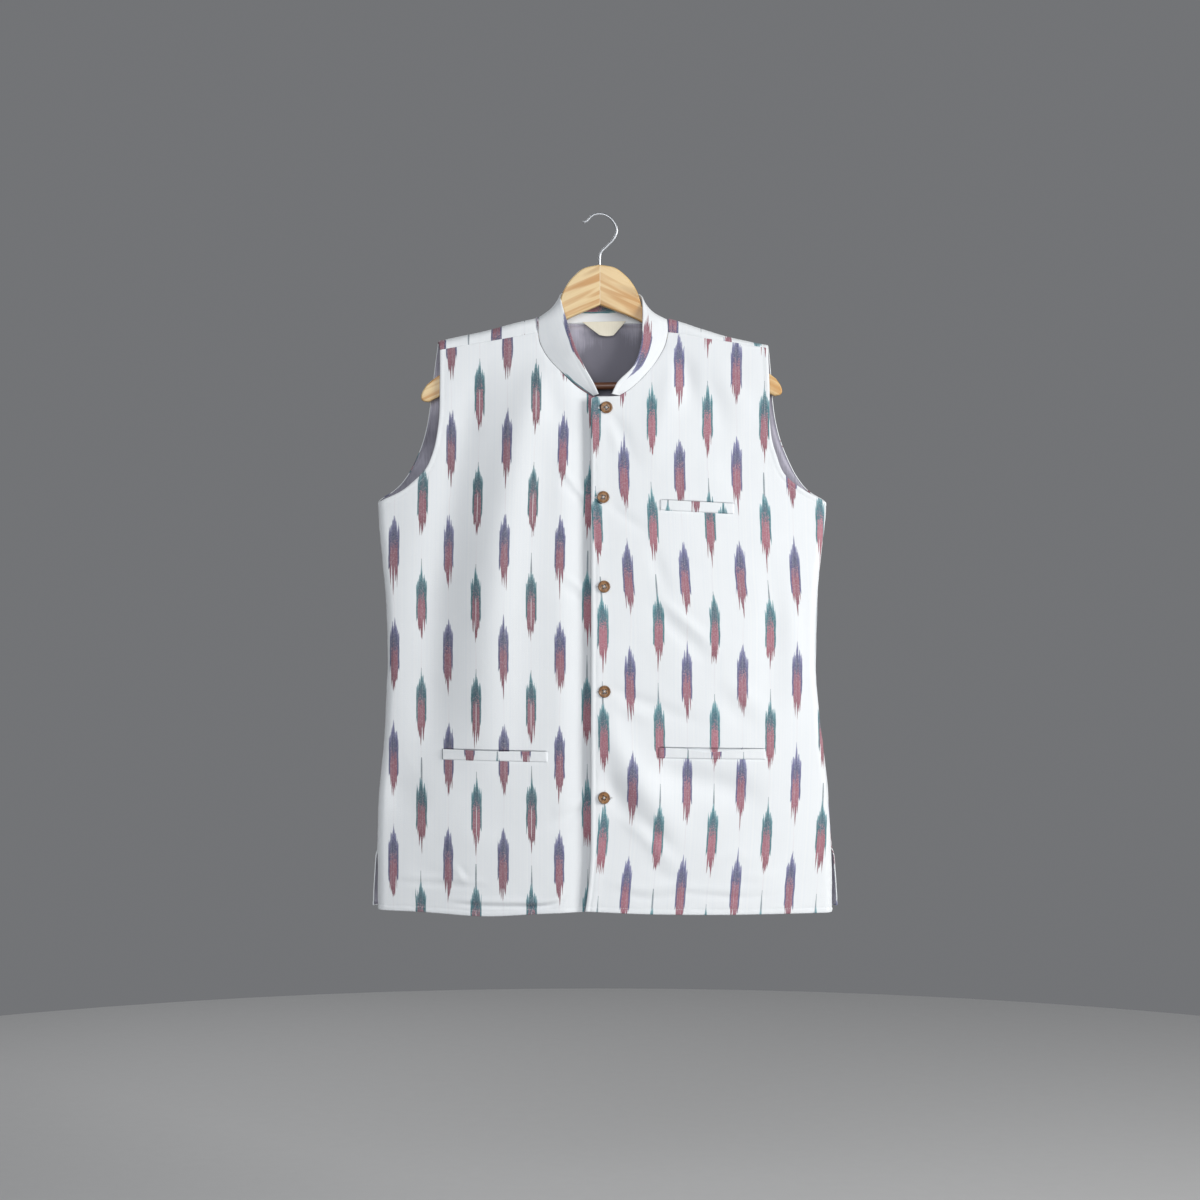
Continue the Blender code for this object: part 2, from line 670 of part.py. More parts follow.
def add_label(home):
    """A blank cloth tab that hangs inside from the back neck seam."""
    inward = WALL + LINING_GAP + LINING_WALL + GAP
    half = np.array([LABEL_BOTTOM_HALF, LABEL_TOP_HALF])
    grid = np.zeros((2, 3, 3))
    for row, z in enumerate((LABEL_TOP - LABEL_HEIGHT, LABEL_TOP)):
        for column, share in enumerate((-1.0, 0.0, 1.0)):
            place = on_back([(LABEL_CENTRE + share * half[row], z)])
            grid[row, column] = body_points(place, inward=inward)[0]
    add_wall("label", grid, 0.6, "label_cloth", home, flip=True)


# --- hanger ------------------------------------------------------------------------------

def curve_mesh(name, curve):
    """A curve object's solid as a mesh with its caps welded."""
    holder = bpy.data.objects.new(name, curve)
    bpy.context.scene.collection.objects.link(holder)
    bpy.context.view_layer.update()
    graph = bpy.context.evaluated_depsgraph_get()
    mesh = bpy.data.meshes.new_from_object(holder.evaluated_get(graph))
    shape = bmesh.new()
    shape.from_mesh(mesh)
    bmesh.ops.remove_doubles(shape, verts=shape.verts, dist=0.00001)
    bmesh.ops.recalc_face_normals(shape, faces=shape.faces)
    shape.to_mesh(mesh)
    shape.free()
    bpy.data.objects.remove(holder)
    return mesh


def poly_curve(name, points, cyclic, dimensions):
    curve = bpy.data.curves.new(name, "CURVE")
    curve.dimensions = dimensions
    line = curve.splines.new("POLY")
    line.points.add(len(points) - 1)
    for target, point in zip(line.points, points):
        target.co = (*(Vector(point) * MM), 1)
    line.use_cyclic_u = cyclic
    return curve


def add_arms(home, stand):
    """The two halves of the wood, glued on the centre line, each drilled for the bar."""
    upper = spline(WOOD_UPPER, 3)
    upper[0] = (JOINT_GAP + WOOD_EDGE, -64.0 - WOOD_EDGE)
    tip = spline([WOOD_UPPER[-1], *WOOD_TIP], 3)[1:]
    lower = np.array(WOOD_LOWER, float)
    lower[-1] = (JOINT_GAP + WOOD_EDGE, -110.0)
    outline = np.vstack([upper, tip, lower])
    for name, sign in (("hanger_arm_right", -1), ("hanger_arm_left", 1)):
        points = [(sign * x, z, 0) for x, z in outline]
        curve = poly_curve(name, points, True, "2D")
        curve.fill_mode = "BOTH"
        curve.extrude = (WOOD_THICK / 2 - WOOD_EDGE) * MM
        curve.bevel_depth = WOOD_EDGE * MM
        curve.bevel_resolution = 1
        arm = add_object(name, curve_mesh(name, curve), "pale_wood", home)
        arm.rotation_euler = (math.radians(90), 0, 0)
        arm.parent = stand
        drill = bpy.data.meshes.new(f"{name}_socket")
        shape = bmesh.new()
        bmesh.ops.create_cone(
            shape, cap_ends=True, segments=16, radius1=BAR_SOCKET * MM,
            radius2=BAR_SOCKET * MM, depth=2 * SOCKET_HALF * MM)
        shape.to_mesh(drill)
        shape.free()
        socket = bpy.data.objects.new(f"{name}_socket", drill)
        socket.hide_render = True
        socket.display_type = "WIRE"
        CUTTERS.objects.link(socket)
        socket.location = (0, 0, BAR_HEIGHT * MM)
        socket.rotation_euler = (0, math.radians(90), 0)
        socket.parent = stand
        cut = arm.modifiers.new("bar_socket", "BOOLEAN")
        cut.object = socket


def add_bar(home, stand):
    shape = bmesh.new()
    bmesh.ops.create_cone(
        shape, cap_ends=True, segments=16, radius1=BAR_RADIUS * MM,
        radius2=BAR_RADIUS * MM, depth=2 * BAR_HALF * MM)
    mesh = bpy.data.meshes.new("hanger_bar")
    shape.to_mesh(mesh)
    shape.free()
    bar = add_object("hanger_bar", mesh, "bar_wood", home)
    bar.location = (0, 0, BAR_HEIGHT * MM)
    bar.rotation_euler = (0, math.radians(90), 0)
    bar.parent = stand


def add_hook(home):
    line = spaced(spline([(x, 0, z) for x, z in HOOK_ROUTE], 6), even(44))
    curve = poly_curve("hanger_hook", line, False, "3D")
    curve.bevel_depth = HOOK_WIRE * MM
    curve.bevel_resolution = 2
    curve.use_fill_caps = True
    add_object("hanger_hook", curve_mesh("hanger_hook", curve), "steel_wire", home)


def add_hanger(home):
    """The wood hangs a little down on the wearer's right, turned about the middle."""
    stand = bpy.data.objects.new("hanger_tilt", None)
    home.objects.link(stand)
    x, z = HANGER_PIVOT
    sine, cosine = math.sin(HANGER_TILT), math.cos(HANGER_TILT)
    stand.rotation_euler = (0, -HANGER_TILT, 0)
    stand.location = Vector((x - x * cosine + z * sine, 0, z - z * cosine - x * sine)) * MM
    add_arms(home, stand)
    add_bar(home, stand)
    add_hook(home)


clear_scene()
CUTTERS = collection("cutters")
JACKET = collection("nehru_jacket_on_hanger")
cloth_fronts = add_cloth(JACKET)
bpy.context.view_layer.update()
add_welts(cloth_fronts, JACKET)
add_buttons(cloth_fronts["front_left"], JACKET)
add_label(JACKET)
add_hanger(JACKET)
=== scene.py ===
"""The looks of a sleeveless Nehru jacket on a wooden hanger.

+X is the wearer's left, -Y faces the viewer, +Z is up. Lengths are in millimetres up to the
moment a mesh is made, and MM turns them into metres.

The cloth repeats the form of the solid model: one flattened tube over the hanger, on which a
place is (p, q), p across from the centre line and q down the front (or up the back) from the
shoulder crest. body_points gives its shape, skin adds creases, edges and stitching, and
everything sewn on the cloth is made from skin's own points.
"""

import math

import bmesh
import bpy
import numpy as np
from mathutils import Matrix, Vector


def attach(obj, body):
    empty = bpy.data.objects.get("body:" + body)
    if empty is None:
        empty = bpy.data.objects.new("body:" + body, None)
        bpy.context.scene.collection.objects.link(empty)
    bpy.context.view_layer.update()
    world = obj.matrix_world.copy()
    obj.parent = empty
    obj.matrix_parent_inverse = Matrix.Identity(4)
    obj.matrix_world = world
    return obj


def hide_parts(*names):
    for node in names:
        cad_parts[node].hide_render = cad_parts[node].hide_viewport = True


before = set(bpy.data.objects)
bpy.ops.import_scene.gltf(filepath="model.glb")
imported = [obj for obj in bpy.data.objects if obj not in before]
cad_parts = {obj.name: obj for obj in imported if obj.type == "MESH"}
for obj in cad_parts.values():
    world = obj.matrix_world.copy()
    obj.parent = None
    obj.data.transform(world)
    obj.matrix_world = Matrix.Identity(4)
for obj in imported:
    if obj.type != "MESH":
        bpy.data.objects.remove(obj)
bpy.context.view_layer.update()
MM = 0.001

# --- the form, as in the solid model -----------------------------------------------------

WALL = 1.2
LINING_GAP = 1.0
FOLD_RADIUS = 9.5
QUARTER_TURN = FOLD_RADIUS * math.pi / 2
TURN_EXTRA = QUARTER_TURN - FOLD_RADIUS
UNDERLAP_EDGE = 20.0
UNDERLAP_DROP = 7.5
FOLD_STRENGTH = 1.7
CREASE_STRENGTH = 1.1
UNDERLAP_FROM = -56.0
UNDERLAP_TO = -15.0
PLACKET_CORNER = 4.0
SLIT_TOP = -785.0
SLIT_STEP = (0.45, 15)  # share of the flare taken at the slit's top, and its run
BACK_FLARE = 7.0

# Outline of the flattened tube: height, left edge, right edge
SIDES = [
    (-875, -276.5, 289.5),
    (-785, -277.5, 288.0),
    (-728, -276.0, 285.0),
    (-666, -270.5, 279.0),
    (-604, -266.5, 272.5),
    (-554, -264.7, 269.3),
    (-480, -267.2, 271.0),
    (-430, -271.6, 275.7),
    (-358, -277.0, 282.0),
    (-120, -277.0, 282.0),
]

# Crest of the shoulders: x, height
CREST = [
    (-208, -158.0),
    (-150, -145.5),
    (-79, -128.0),
    (0, -118.0),
    (84, -129.0),
    (127, -142.5),
    (161, -152.5),
    (214, -163.0),
]

# Fullness of the tube: distance below the crest, front, back
FULLNESS = [
    (0, 0, 0),
    (40, 1, 1),
    (110, 8, 5),
    (230, 18, 13),
    (400, 25, 20),
    (760, 30, 25),
]

# Folds of the front that the solid model has too: x, height, half width, rise
FOLDS = [
    [(-56, -178, 18, 0), (-85, -228, 24, 3.0), (-110, -323, 30, 5), (-124, -414, 33, 5.5),
     (-134, -510, 35, 5.5), (-138, -600, 36, 4.5), (-146, -720, 38, 0)],
    [(-126, -178, 18, 0), (-155, -228, 22, -2.0), (-180, -323, 26, -3.5), (-194, -414, 28, -4),
     (-205, -490, 28, -4), (-210, -600, 28, -3), (-212, -700, 28, 0)],
    [(12, -592, 14, 0), (18, -655, 18, 3), (60, -722, 20, 4), (106, -775, 20, 0)],
    [(62, -688, 16, 0), (112, -703, 18, -4), (165, -715, 18, -3.5), (205, -735, 16, 0)],
    [(96, -165, 10, 0), (108, -205, 14, -2.5), (118, -255, 16, 0)],
]

# Smaller creases of the front: x, height, half width, rise
FRONT_CREASES = [
    [(-48, -312, 4, 0), (-38, -330, 5, 1.6), (-24, -346, 5, 1.8), (-16, -352, 5, 0.6)],
    [(-52, -330, 6, 0), (-34, -346, 6, -1.4), (-20, -358, 5, -1.2)],
    [(-50, -446, 4, 0), (-36, -458, 5, 1.6), (-22, -466, 5, 1.6), (-16, -470, 5, 0.5)],
    [(-52, -462, 6, 0), (-34, -472, 6, -1.2), (-20, -478, 5, -1.0)],
    [(-66, -760, 8, 0), (-44, -752, 7, -1.6), (-22, -736, 6, -1.8)],
    [(-60, -744, 6, 0), (-40, -736, 6, 1.2), (-22, -724, 5, 1.2)],
    [(-70, -200, 14, 0), (-52, -245, 16, -3.0), (-40, -290, 14, 0)],
    [(-20, -228, 7, 0), (-12, -300, 6, -1.2), (-12, -600, 6, -1.2), (-14, -860, 6, -0.6)],
    [(-275, -690, 20, 0), (-245, -720, 26, -2.6), (-215, -745, 24, 0)],
    [(-205, -780, 16, 0), (-160, -775, 20, 1.6), (-110, -790, 18, 0)],
    [(-240, -800, 14, 0), (-205, -822, 14, -1.2), (-160, -832, 12, 0)],
    [(66, -470, 5, 0), (96, -497, 6, 1.6), (132, -530, 7, 1.4), (150, -548, 6, 0)],
    [(58, -482, 6, 0), (88, -512, 8, -1.5), (118, -540, 8, -1.0), (140, -560, 6, 0)],
    [(62, -400, 8, 0), (72, -440, 9, -1.3), (90, -480, 8, 0)],
    [(10, -588, 5, 0), (34, -598, 6, -2.0), (66, -610, 8, -1.8), (110, -628, 9, -1.2),
     (150, -640, 9, 0)],
    [(14, -606, 6, 0), (40, -618, 7, 1.4), (80, -634, 8, 0)],
    [(8, -690, 8, 0), (16, -715, 12, -3.0), (30, -738, 12, -2.0), (44, -752, 8, 0)],
    [(22, -745, 6, 0), (52, -770, 8, 1.8), (84, -800, 9, 1.2), (100, -815, 8, 0)],
    [(46, -740, 6, 0), (70, -768, 8, -1.4), (98, -796, 8, 0)],
    [(8, -358, 5, 0), (24, -372, 6, -1.2), (52, -392, 7, -0.8), (70, -400, 6, 0)],
    [(8, -246, 6, 0), (22, -262, 8, -1.6), (36, -292, 9, -1.0), (42, -320, 8, 0)],
    [(12, -262, 4, 0), (18, -282, 5, 0.9), (22, -304, 5, 0)],
    [(100, -168, 12, 0), (86, -215, 14, 1.8), (72, -270, 14, 1.2), (60, -330, 12, 0)],
    [(140, -180, 10, 0), (160, -215, 14, 1.4), (190, -262, 14, 0)],
    [(128, -190, 10, 0), (146, -240, 12, -1.2), (160, -290, 12, 0)],
    [(120, -310, 16, 0), (140, -330, 18, 1.0), (170, -338, 14, 0)],
    [(206, -420, 12, 0), (214, -520, 16, -1.4), (206, -640, 14, 0)],
    [(232, -430, 10, 0), (240, -540, 14, 1.4), (238, -650, 12, 0)],
    [(150, -570, 10, 0), (176, -596, 12, 1.4), (214, -618, 12, 0)],
    [(140, -590, 10, 0), (170, -622, 12, -1.2), (205, -642, 10, 0)],
    [(0, -822, 5, 0), (52, -836, 6, 1.3), (90, -832, 6, 0.9), (140, -838, 6, 1.2),
     (215, -834, 6, 0)],
    [(10, -838, 4, 0), (60, -848, 5, -1.2), (112, -842, 5, -0.8), (170, -848, 5, -1.2),
     (222, -844, 4, 0)],
    [(50, -800, 8, 0), (84, -822, 9, -1.2), (112, -824, 8, 0)],
    [(-262, -822, 4, 0), (-220, -824, 4.5, 1.3), (-170, -826, 4.5, 1.3), (-136, -829, 4, 0)],
    [(-262, -829, 4, 0), (-215, -831, 3.6, -1.2), (-170, -833, 3.6, -1.2), (-136, -836, 4, 0)],
    [(-190, -849, 3, 0), (-150, -851.5, 3.4, 1.9), (-112, -852, 3.6, 2.6), (-74, -851.5, 3.6, 2.6),
     (-54, -847, 4.0, 2.0), (-46, -836, 4, 0)],
    [(-190, -855, 3, 0), (-150, -857.5, 2.6, -1.7), (-110, -858, 2.6, -2.4),
     (-72, -857.5, 2.6, -2.4), (-50, -853, 3.0, -1.3), (-41, -843, 4, 0)],
    [(-186, -808, 4, 0), (-176, -816, 4, 1.1), (-167, -828, 4, 0.9), (-160, -836, 4, 0)],
    [(-178, -806, 4, 0), (-168, -816, 4, -0.9), (-160, -828, 4, 0)],
    [(-48, -330, 4, 0), (-32, -338, 4, -1.0), (-18, -344, 4, 0)],
    [(-50, -452, 4, 0), (-34, -462, 4, -1.0), (-20, -468, 4, 0)],
    [(120, -806, 8, 0), (160, -796, 9, 1.0), (205, -800, 8, 0)],
    [(160, -818, 6, 0), (196, -822, 6, 0.9), (236, -816, 6, 0)],
]

# Folds of the back, a wide one below each shoulder blade and pulls at the waist
BACK_CREASES = [
    [(-96, -165, 20, 0), (-110, -280, 28, 3.0), (-120, -420, 34, 4.5), (-124, -600, 38, 4.0),
     (-120, -800, 40, 1.0)],
    [(-160, -230, 22, 0), (-176, -360, 28, -3.5), (-184, -520, 32, -4.0), (-182, -700, 32, 0)],
    [(40, -150, 20, 0), (52, -260, 28, -2.5), (60, -420, 34, -4.0), (58, -620, 36, -3.0),
     (54, -800, 36, 0)],
    [(110, -170, 20, 0), (128, -300, 28, 3.0), (140, -460, 32, 4.0), (142, -640, 34, 3.0),
     (140, -800, 32, 0)],
    [(-40, -138, 14, 0), (-34, -190, 18, -2.2), (-22, -260, 20, 0)],
    [(200, -420, 18, 0), (208, -540, 22, -2.4), (204, -680, 22, 0)],
    [(-236, -400, 10, 0), (-205, -440, 12, 1.6), (-168, -470, 12, 0)],
    [(240, -400, 10, 0), (214, -436, 12, 1.4), (186, -462, 12, 0)],
    [(-60, -520, 8, 0), (-20, -534, 10, 1.3), (22, -528, 9, 0)],
    [(-230, -760, 10, 0), (-170, -778, 14, -1.6), (-110, -770, 12, 0)],
    [(60, -770, 10, 0), (120, -790, 13, 1.6), (190, -780, 12, 0)],
    [(-90, -828, 7, 0), (-20, -838, 8, 1.2), (60, -832, 8, 0)],
]

# Cut edges, as x and height on the front or the back
HEM_RIGHT = [(-276.5, -865.5), (-216, -867.0), (-142, -870.8), (-70, -867.0), (20, -864.0)]
HEM_LEFT = [(-18.4, -864.0), (51, -867.3), (140, -869.0), (228, -869.0), (289.4, -869.0)]
HEM_BACK = [(-283.5, -861.0), (-140, -863.0), (0, -864.0), (140, -863.0), (294.0, -861.0)]
SEAM_RIGHT = [(-77, -147.0), (-111, -153.5), (-155, -161.0), (-199.4, -169.0)]
SEAM_LEFT = [(85, -147.0), (106, -149.5), (129.5, -154.5), (161, -159.0), (209, -166.5)]
NECK_RIGHT = [(-10, -227.0), (-31, -213.0), (-52, -193.0), (-66, -177.0), (-75, -160.0),
              (-77, -147.0)]
NECK_LEFT = [(24, -226.5), (38, -218.0), (56, -201.0), (71, -182.0), (81, -164.0),
             (85, -147.0)]
ARMHOLE_FRONT_RIGHT = [(-276.5, -358.0), (-250, -346.0), (-236, -336.0), (-218, -318.5),
                       (-209, -300.0), (-203.6, -279.0), (-200, -250.0), (-199.4, -210.0),
                       (-199.4, -169.0)]
ARMHOLE_FRONT_LEFT = [(281.5, -358.0), (252, -342.0), (229, -323.0), (219.5, -300.0),
                      (213.5, -279.0), (211, -250.0), (211, -215.0), (209, -166.5)]
ARMHOLE_BACK_RIGHT = [(-276.5, -358.0), (-247, -332.0), (-228, -298.0), (-217.5, -265.0),
                      (-211.5, -226.0), (-206.5, -185.0)]
ARMHOLE_BACK_LEFT = [(281.5, -358.0), (254, -336.0), (234, -300.0), (222, -265.0),
                     (216, -226.0), (213.5, -185.0)]
PLACKET_EDGE = [(-18.4, -864.0), (-15.5, -843.0), (-12.5, -810.0), (-11, -736.0),
                (-11, -300.0), (-11, -232.5)]
BACK_NECK = [(-79.5, -128.0), (-62, -132.5), (-30, -134.3), (0, -134.6), (32, -134.3),
             (66, -132.8), (84.5, -129.0)]
LINING_NECK = [(-150, -159.0), (-100, -148.5), (-78, -142.5), (-62, -138.0), (-30, -137.5),
               (0, -137.5), (32, -137.5), (66, -138.5), (84, -143.0), (105, -149.5),
               (158, -165.5)]

# Top edge of the stand collar, from its right front end round the back to the left one
COLLAR_TOP = [(-2, -15, -224.5), (-9, -18, -209.5), (-19, -21, -191.5), (-28.5, -22, -171.5),
              (-36, -20, -151.0), (-42, -17, -130.5), (-47.5, -10.5, -112.0),
              (-50.5, 0, -99.0), (-47.5, 10, -95.5), (-30, 15, -93.5), (0, 17, -92.5),
              (32, 15, -93.5), (49.5, 10, -96.5), (53, 0, -101.5), (53.5, -10, -114.0),
              (53, -17, -134.0), (51.5, -20.5, -162.0), (43.5, -23, -187.5),
              (32, -24.5, -200.5), (22, -25, -210.0), (15, -25, -225.0)]

WELTS = {  # front, x of both ends, height of the mouth at both ends
    "welt_chest": ("front_left", 74.0, 166.0, -356.0, -360.5),
    "welt_hip_right": ("front_right", -196.0, -64.5, -664.5, -667.0),
    "welt_hip_left": ("front_left", 72.0, 205.0, -662.0, -664.5),
}
WELT_HEIGHT = 13.5
WELT_THICK = 1.5
# Where a buttonhole gapes beside its button, drawn as a dark tube of painted shadow: button, first
# and last angle, radius, half width
GAPS = [(1, 140, 215, 7.9, 1.1), (2, 198, 264, 8.3, 0.75), (5, -24, 8, 7.9, 0.6)]
BUTTONS = [(8.0, -241.5), (4.0, -353.0), (5.0, -463.5), (5.6, -593.0), (4.4, -724.0)]
BUTTON_RADIUS = 7.5
BUTTON_THICK = 2.4
BUTTON_LIFT = 0.8
HOLE_AT = 2.3
HOLE_RADIUS = 1.2
COLLAR_WALL = 2.2
LABEL = [(-22.5, -132.5), (32.5, -131.5), (17.0, -149.5), (-0.5, -149.5)]

# The wood of the hanger's left half, and the wire of its hook, as x and height
WOOD_THICK = 12.0
WOOD_EDGE = 2.0
WOOD_UPPER = [(0, -64.0), (18.6, -68.0), (31.6, -78.0), (39.7, -88.0), (45.5, -99.0),
              (49, -111.0), (55, -124.0), (65, -134.0), (80, -142.5), (120, -160.0),
              (165, -180.0), (200, -197.5), (216, -209.0)]
WOOD_TIP = [(222, -218.5), (222.5, -225.5), (216, -227.5)]
WOOD_LOWER = [(196, -218.0), (150, -195.0), (100, -166.0), (51, -132.0), (0, -110.0)]
HOOK_ROUTE = [(-21.8, -8.8), (-18.5, -8.2), (-15.0, -6.2), (-12, -2.6), (-7.4, 0.6), (0, 1.75),
              (7, 0.3), (13.6, -4.0), (18.6, -10.4), (21.0, -18.0), (20.0, -24.2), (16.4, -31.0),
              (11.3, -36.4), (5.4, -42.0), (1.4, -46.6), (-0.2, -52.0), (-0.4, -63.7)]
HANGER_TILT = math.radians(1.0)
HANGER_PIVOT = (0.0, -110.0)
BAR_RADIUS = 4.7
BAR_HEIGHT = -213.0
BAR_HALF = 201.0
HOOK_WIRE = 1.75

# Ikat: x of a teal column and height of a teal motif's middle, on each cut piece
PITCH = 34.3
PERIOD = 129.2
TEAL_AT = {
    "front_right": (-16.1, 482.4),
    "front_left": (0.5, 514.6),
    "back": (-156.0, 191.0),
    "collar": (0.0, 135.6),
    "welt_chest": (83.7, 398.0),
    "welt_hip_right": (-194.5, 585.0),
    "welt_hip_left": (40.5, 586.0),
}


def smooth(table, at, column):
    """A column of a table, read at values of its first column and joined without overshoot."""
    rows = np.array(sorted(table), float)
    xs, ys = rows[:, 0], rows[:, column]
    steps = np.diff(xs)
    slopes = np.diff(ys) / steps
    product, total = slopes[:-1] * slopes[1:], slopes[:-1] + slopes[1:]
    inner = np.divide(2 * product, total, out=np.zeros_like(total), where=product > 0)
    tangents = np.concatenate([slopes[:1], inner, slopes[-1:]])
    i = np.clip(np.searchsorted(xs, at) - 1, 0, len(steps) - 1)
    t = np.clip((at - xs[i]) / steps[i], 0, 1)
    rise = (3 - 2 * t) * t * t
    return (
        ys[i] * (1 - rise)
        + ys[i + 1] * rise
        + steps[i] * t * (1 - t) * (tangents[i] * (1 - t) - tangents[i + 1] * t)
    )


def ease(t):
    t = np.clip(t, 0, 1)
    return t * t * (3 - 2 * t)


def spline(points, per_span=12):
    """A smooth dense line through a few points, by Catmull-Rom."""
    known = np.array(points, float)
    ends = np.vstack([2 * known[0] - known[1], known, 2 * known[-1] - known[-2]])
    line = [known[:1]]
    for a, b, c, d in zip(ends, ends[1:], ends[2:], ends[3:]):
        t = (np.arange(per_span) + 1)[:, None] / per_span
        line.append(
            0.5 * (2 * b + (c - a) * t + (2 * a - 5 * b + 4 * c - d) * t**2
                   + (3 * b - a - 3 * c + d) * t**3)
        )
    return np.vstack(line)


def lengths(line):
    return np.concatenate([[0], np.cumsum(np.linalg.norm(np.diff(line, axis=0), axis=1))])


def spaced(line, at):
    """Points of a line at these shares of its length."""
    along = lengths(line)
    want = np.asarray(at, float) * along[-1]
    return np.stack([np.interp(want, along, line[:, k]) for k in range(line.shape[1])], 1)


def closing(line, count, near_start=(), near_end=()):
    """A line's points: even, but at these distances next to its ends."""
    total = lengths(line)[-1]
    first = [0, *(step / total for step in near_start)]
    last = [1 - step / total for step in sorted(near_end, reverse=True)] + [1.0]
    if not near_end:
        last = [1.0]
    middle = np.linspace(first[-1], last[0], count + 1)
    return spaced(line, np.concatenate([first[:-1], middle, last[1:]]))


def half_width(z, sign, back):
    width = np.where(sign < 0, -smooth(SIDES, z, 1), smooth(SIDES, z, 2))
    share, run = SLIT_STEP
    flare = share * ease((SLIT_TOP - z) / run) + (1 - share) * ease((SLIT_TOP - z) / 80)
    return width + np.where(back, BACK_FLARE * flare, 0)


def path_round(inset):
    turning = FOLD_RADIUS * np.arccos(np.clip(1 - inset / FOLD_RADIUS, -1, 1))
    return np.where(inset < FOLD_RADIUS, turning, inset + TURN_EXTRA)


def inset_round(path, inward=0.0):
    angle = np.clip(path, 0, QUARTER_TURN) / FOLD_RADIUS
    turning = FOLD_RADIUS - (FOLD_RADIUS - inward) * np.cos(angle)
    return np.where(path < QUARTER_TURN, turning, path - TURN_EXTRA)


def place_of(x, z, back=False):
    """(p, q) of a point of the outline given as seen from the front."""
    x, z = np.asarray(x, float), np.asarray(z, float)
    sign = np.where(x < 0, -1.0, 1.0)
    width = half_width(z, sign, back)
    inset = np.clip(width - np.abs(x), 0, None)
    drop = np.clip(smooth(CREST, x, 1) - z, 0, None)
    p = sign * (width + TURN_EXTRA - path_round(inset))
    q = path_round(drop) * (-1 if back else 1)
    return np.stack([p, q], -1)


def on_front(points):
    line = np.array(points, float)
    return place_of(line[:, 0], line[:, 1])


def on_back(points):
    line = np.array(points, float)
    return place_of(line[:, 0], line[:, 1], back=True)


def fold_lines(tables, strength):
    """Dense lines of x, height, half width and rise through each table's rows."""
    return [spline(rows, 10) * (1, 1, 1, strength) for rows in tables]


def folds_at(lines, x, z):
    """Rise of these folds at x and height."""
    rise = np.zeros_like(x)
    for line in lines:
        reach = 3 * line[:, 2].max()
        near_by = (
            (x > line[:, 0].min() - reach) & (x < line[:, 0].max() + reach)
            & (z > line[:, 1].min() - reach) & (z < line[:, 1].max() + reach)
        )
        if not near_by.any():
            continue
        a, b = x[near_by], z[near_by]
        away = (a[:, None] - line[:, 0]) ** 2 + (b[:, None] - line[:, 1]) ** 2
        near = np.argmin(away, axis=-1)
        squared = np.take_along_axis(away, near[:, None], -1)[:, 0]
        step = np.gradient(line[:, :2], axis=0)[near]
        size = (step**2).sum(-1)
        along = ((a - line[near, 0]) * step[:, 0] + (b - line[near, 1]) * step[:, 1]) / size
        place = np.clip(near + np.clip(along, -0.5, 0.5), 0, len(line) - 1)
        squared = squared - (place - near) ** 2 * size
        count = np.arange(len(line))
        width, height = np.interp(place, count, line[:, 2]), np.interp(place, count, line[:, 3])
        rise[near_by] += height * np.exp(-squared / width**2)
    return rise


FRONT_LINES = fold_lines(FOLDS, FOLD_STRENGTH) + fold_lines(FRONT_CREASES, CREASE_STRENGTH)
BACK_LINES = fold_lines(BACK_CREASES, CREASE_STRENGTH)
LATTICE = np.random.default_rng(11).random((64, 64)) * 2 - 1


def noise(x, y, size, seed=0):
    """Smooth noise from -1 to 1, with features of about this size."""
    u, v = x / size + seed * 17.31, y / size + seed * 7.77
    i, j = np.floor(u).astype(int), np.floor(v).astype(int)
    f, g = ease(u - i), ease(v - j)

    def at(a, b):
        return LATTICE[(i + a) % 64, (j + b) % 64]

    return (at(0, 0) * (1 - f) + at(1, 0) * f) * (1 - g) + (at(0, 1) * (1 - f) + at(1, 1) * f) * g


def body_points(places, inward=0.0, underlap=False):
    """Points in space at places (p, q), this far inward of the cloth's outer face."""
    p, q = places[..., 0], places[..., 1]
    front = q > 0
    sign = np.where(p < 0, -1.0, 1.0)
    drop = inset_round(np.abs(q), inward)
    z = smooth(CREST, p, 1) - drop
    width = half_width(z, sign, ~front)
    path = np.clip(width + TURN_EXTRA - np.abs(p), 0, None)
    inset = inset_round(path, inward)
    x = sign * (width - inset)
    turned = np.minimum(np.minimum(path, np.abs(q)), QUARTER_TURN)
    full = np.where(front, smooth(FULLNESS, drop, 1), smooth(FULLNESS, drop, 2))
    swell = 1 - (1 - np.clip(inset / width, 0, 1)) ** 2.2
    depth = (FOLD_RADIUS - inward) * np.sin(turned / FOLD_RADIUS) + full * swell
    soft = ease(inset / 25) * ease(np.abs(q) / 30)
    rise = folds_at(FRONT_LINES if front.any() else [], x, z)
    if not front.all():
        rise = np.where(front, rise, folds_at(BACK_LINES, x, z))
    depth += rise * soft
    if underlap:
        depth -= UNDERLAP_DROP * ease((x - UNDERLAP_FROM) / (UNDERLAP_TO - UNDERLAP_FROM)) ** 1.25
    return np.stack([x, np.where(front, -1.0, 1.0) * depth, z], -1)


# --- panels and their skin ---------------------------------------------------------------

EDGE_STEPS = (0.5, 1.0, 1.6, 2.4, 3.4, 4.4, 5.2, 6.0, 6.8, 7.8, 9.2)
HEM_STEPS = (*EDGE_STEPS, 10.8, 12.4, 14.0, 15.6, 17.2, 18.8, 20.6, 22.4, 24.4, 26.6, 29.0, 31.6,
             34.4)
SIDE_STEPS = (0.6, 1.2, 2.0, 3.0, 4.2, 5.6, 7.2, 9.0, 11.0, 13.0, 15.0, 17.5, 20.0)
TOP_STEPS = (0.5, 1.0, 1.6, 2.4, 3.6, 5.2)
OVER_STEPS = (0.6, 1.2, 2.0, 3.2, 4.8, 6.8, 9.0, 11.2, 13.4, 15.6, 17.8, 20.0, 22.2, 24.4,
              26.6, 28.8, 31.0, 33.5, 36.0, 39.0, 42.0)
SEAM_HALF_GAP = -0.15   # sewn panels run a little into each other
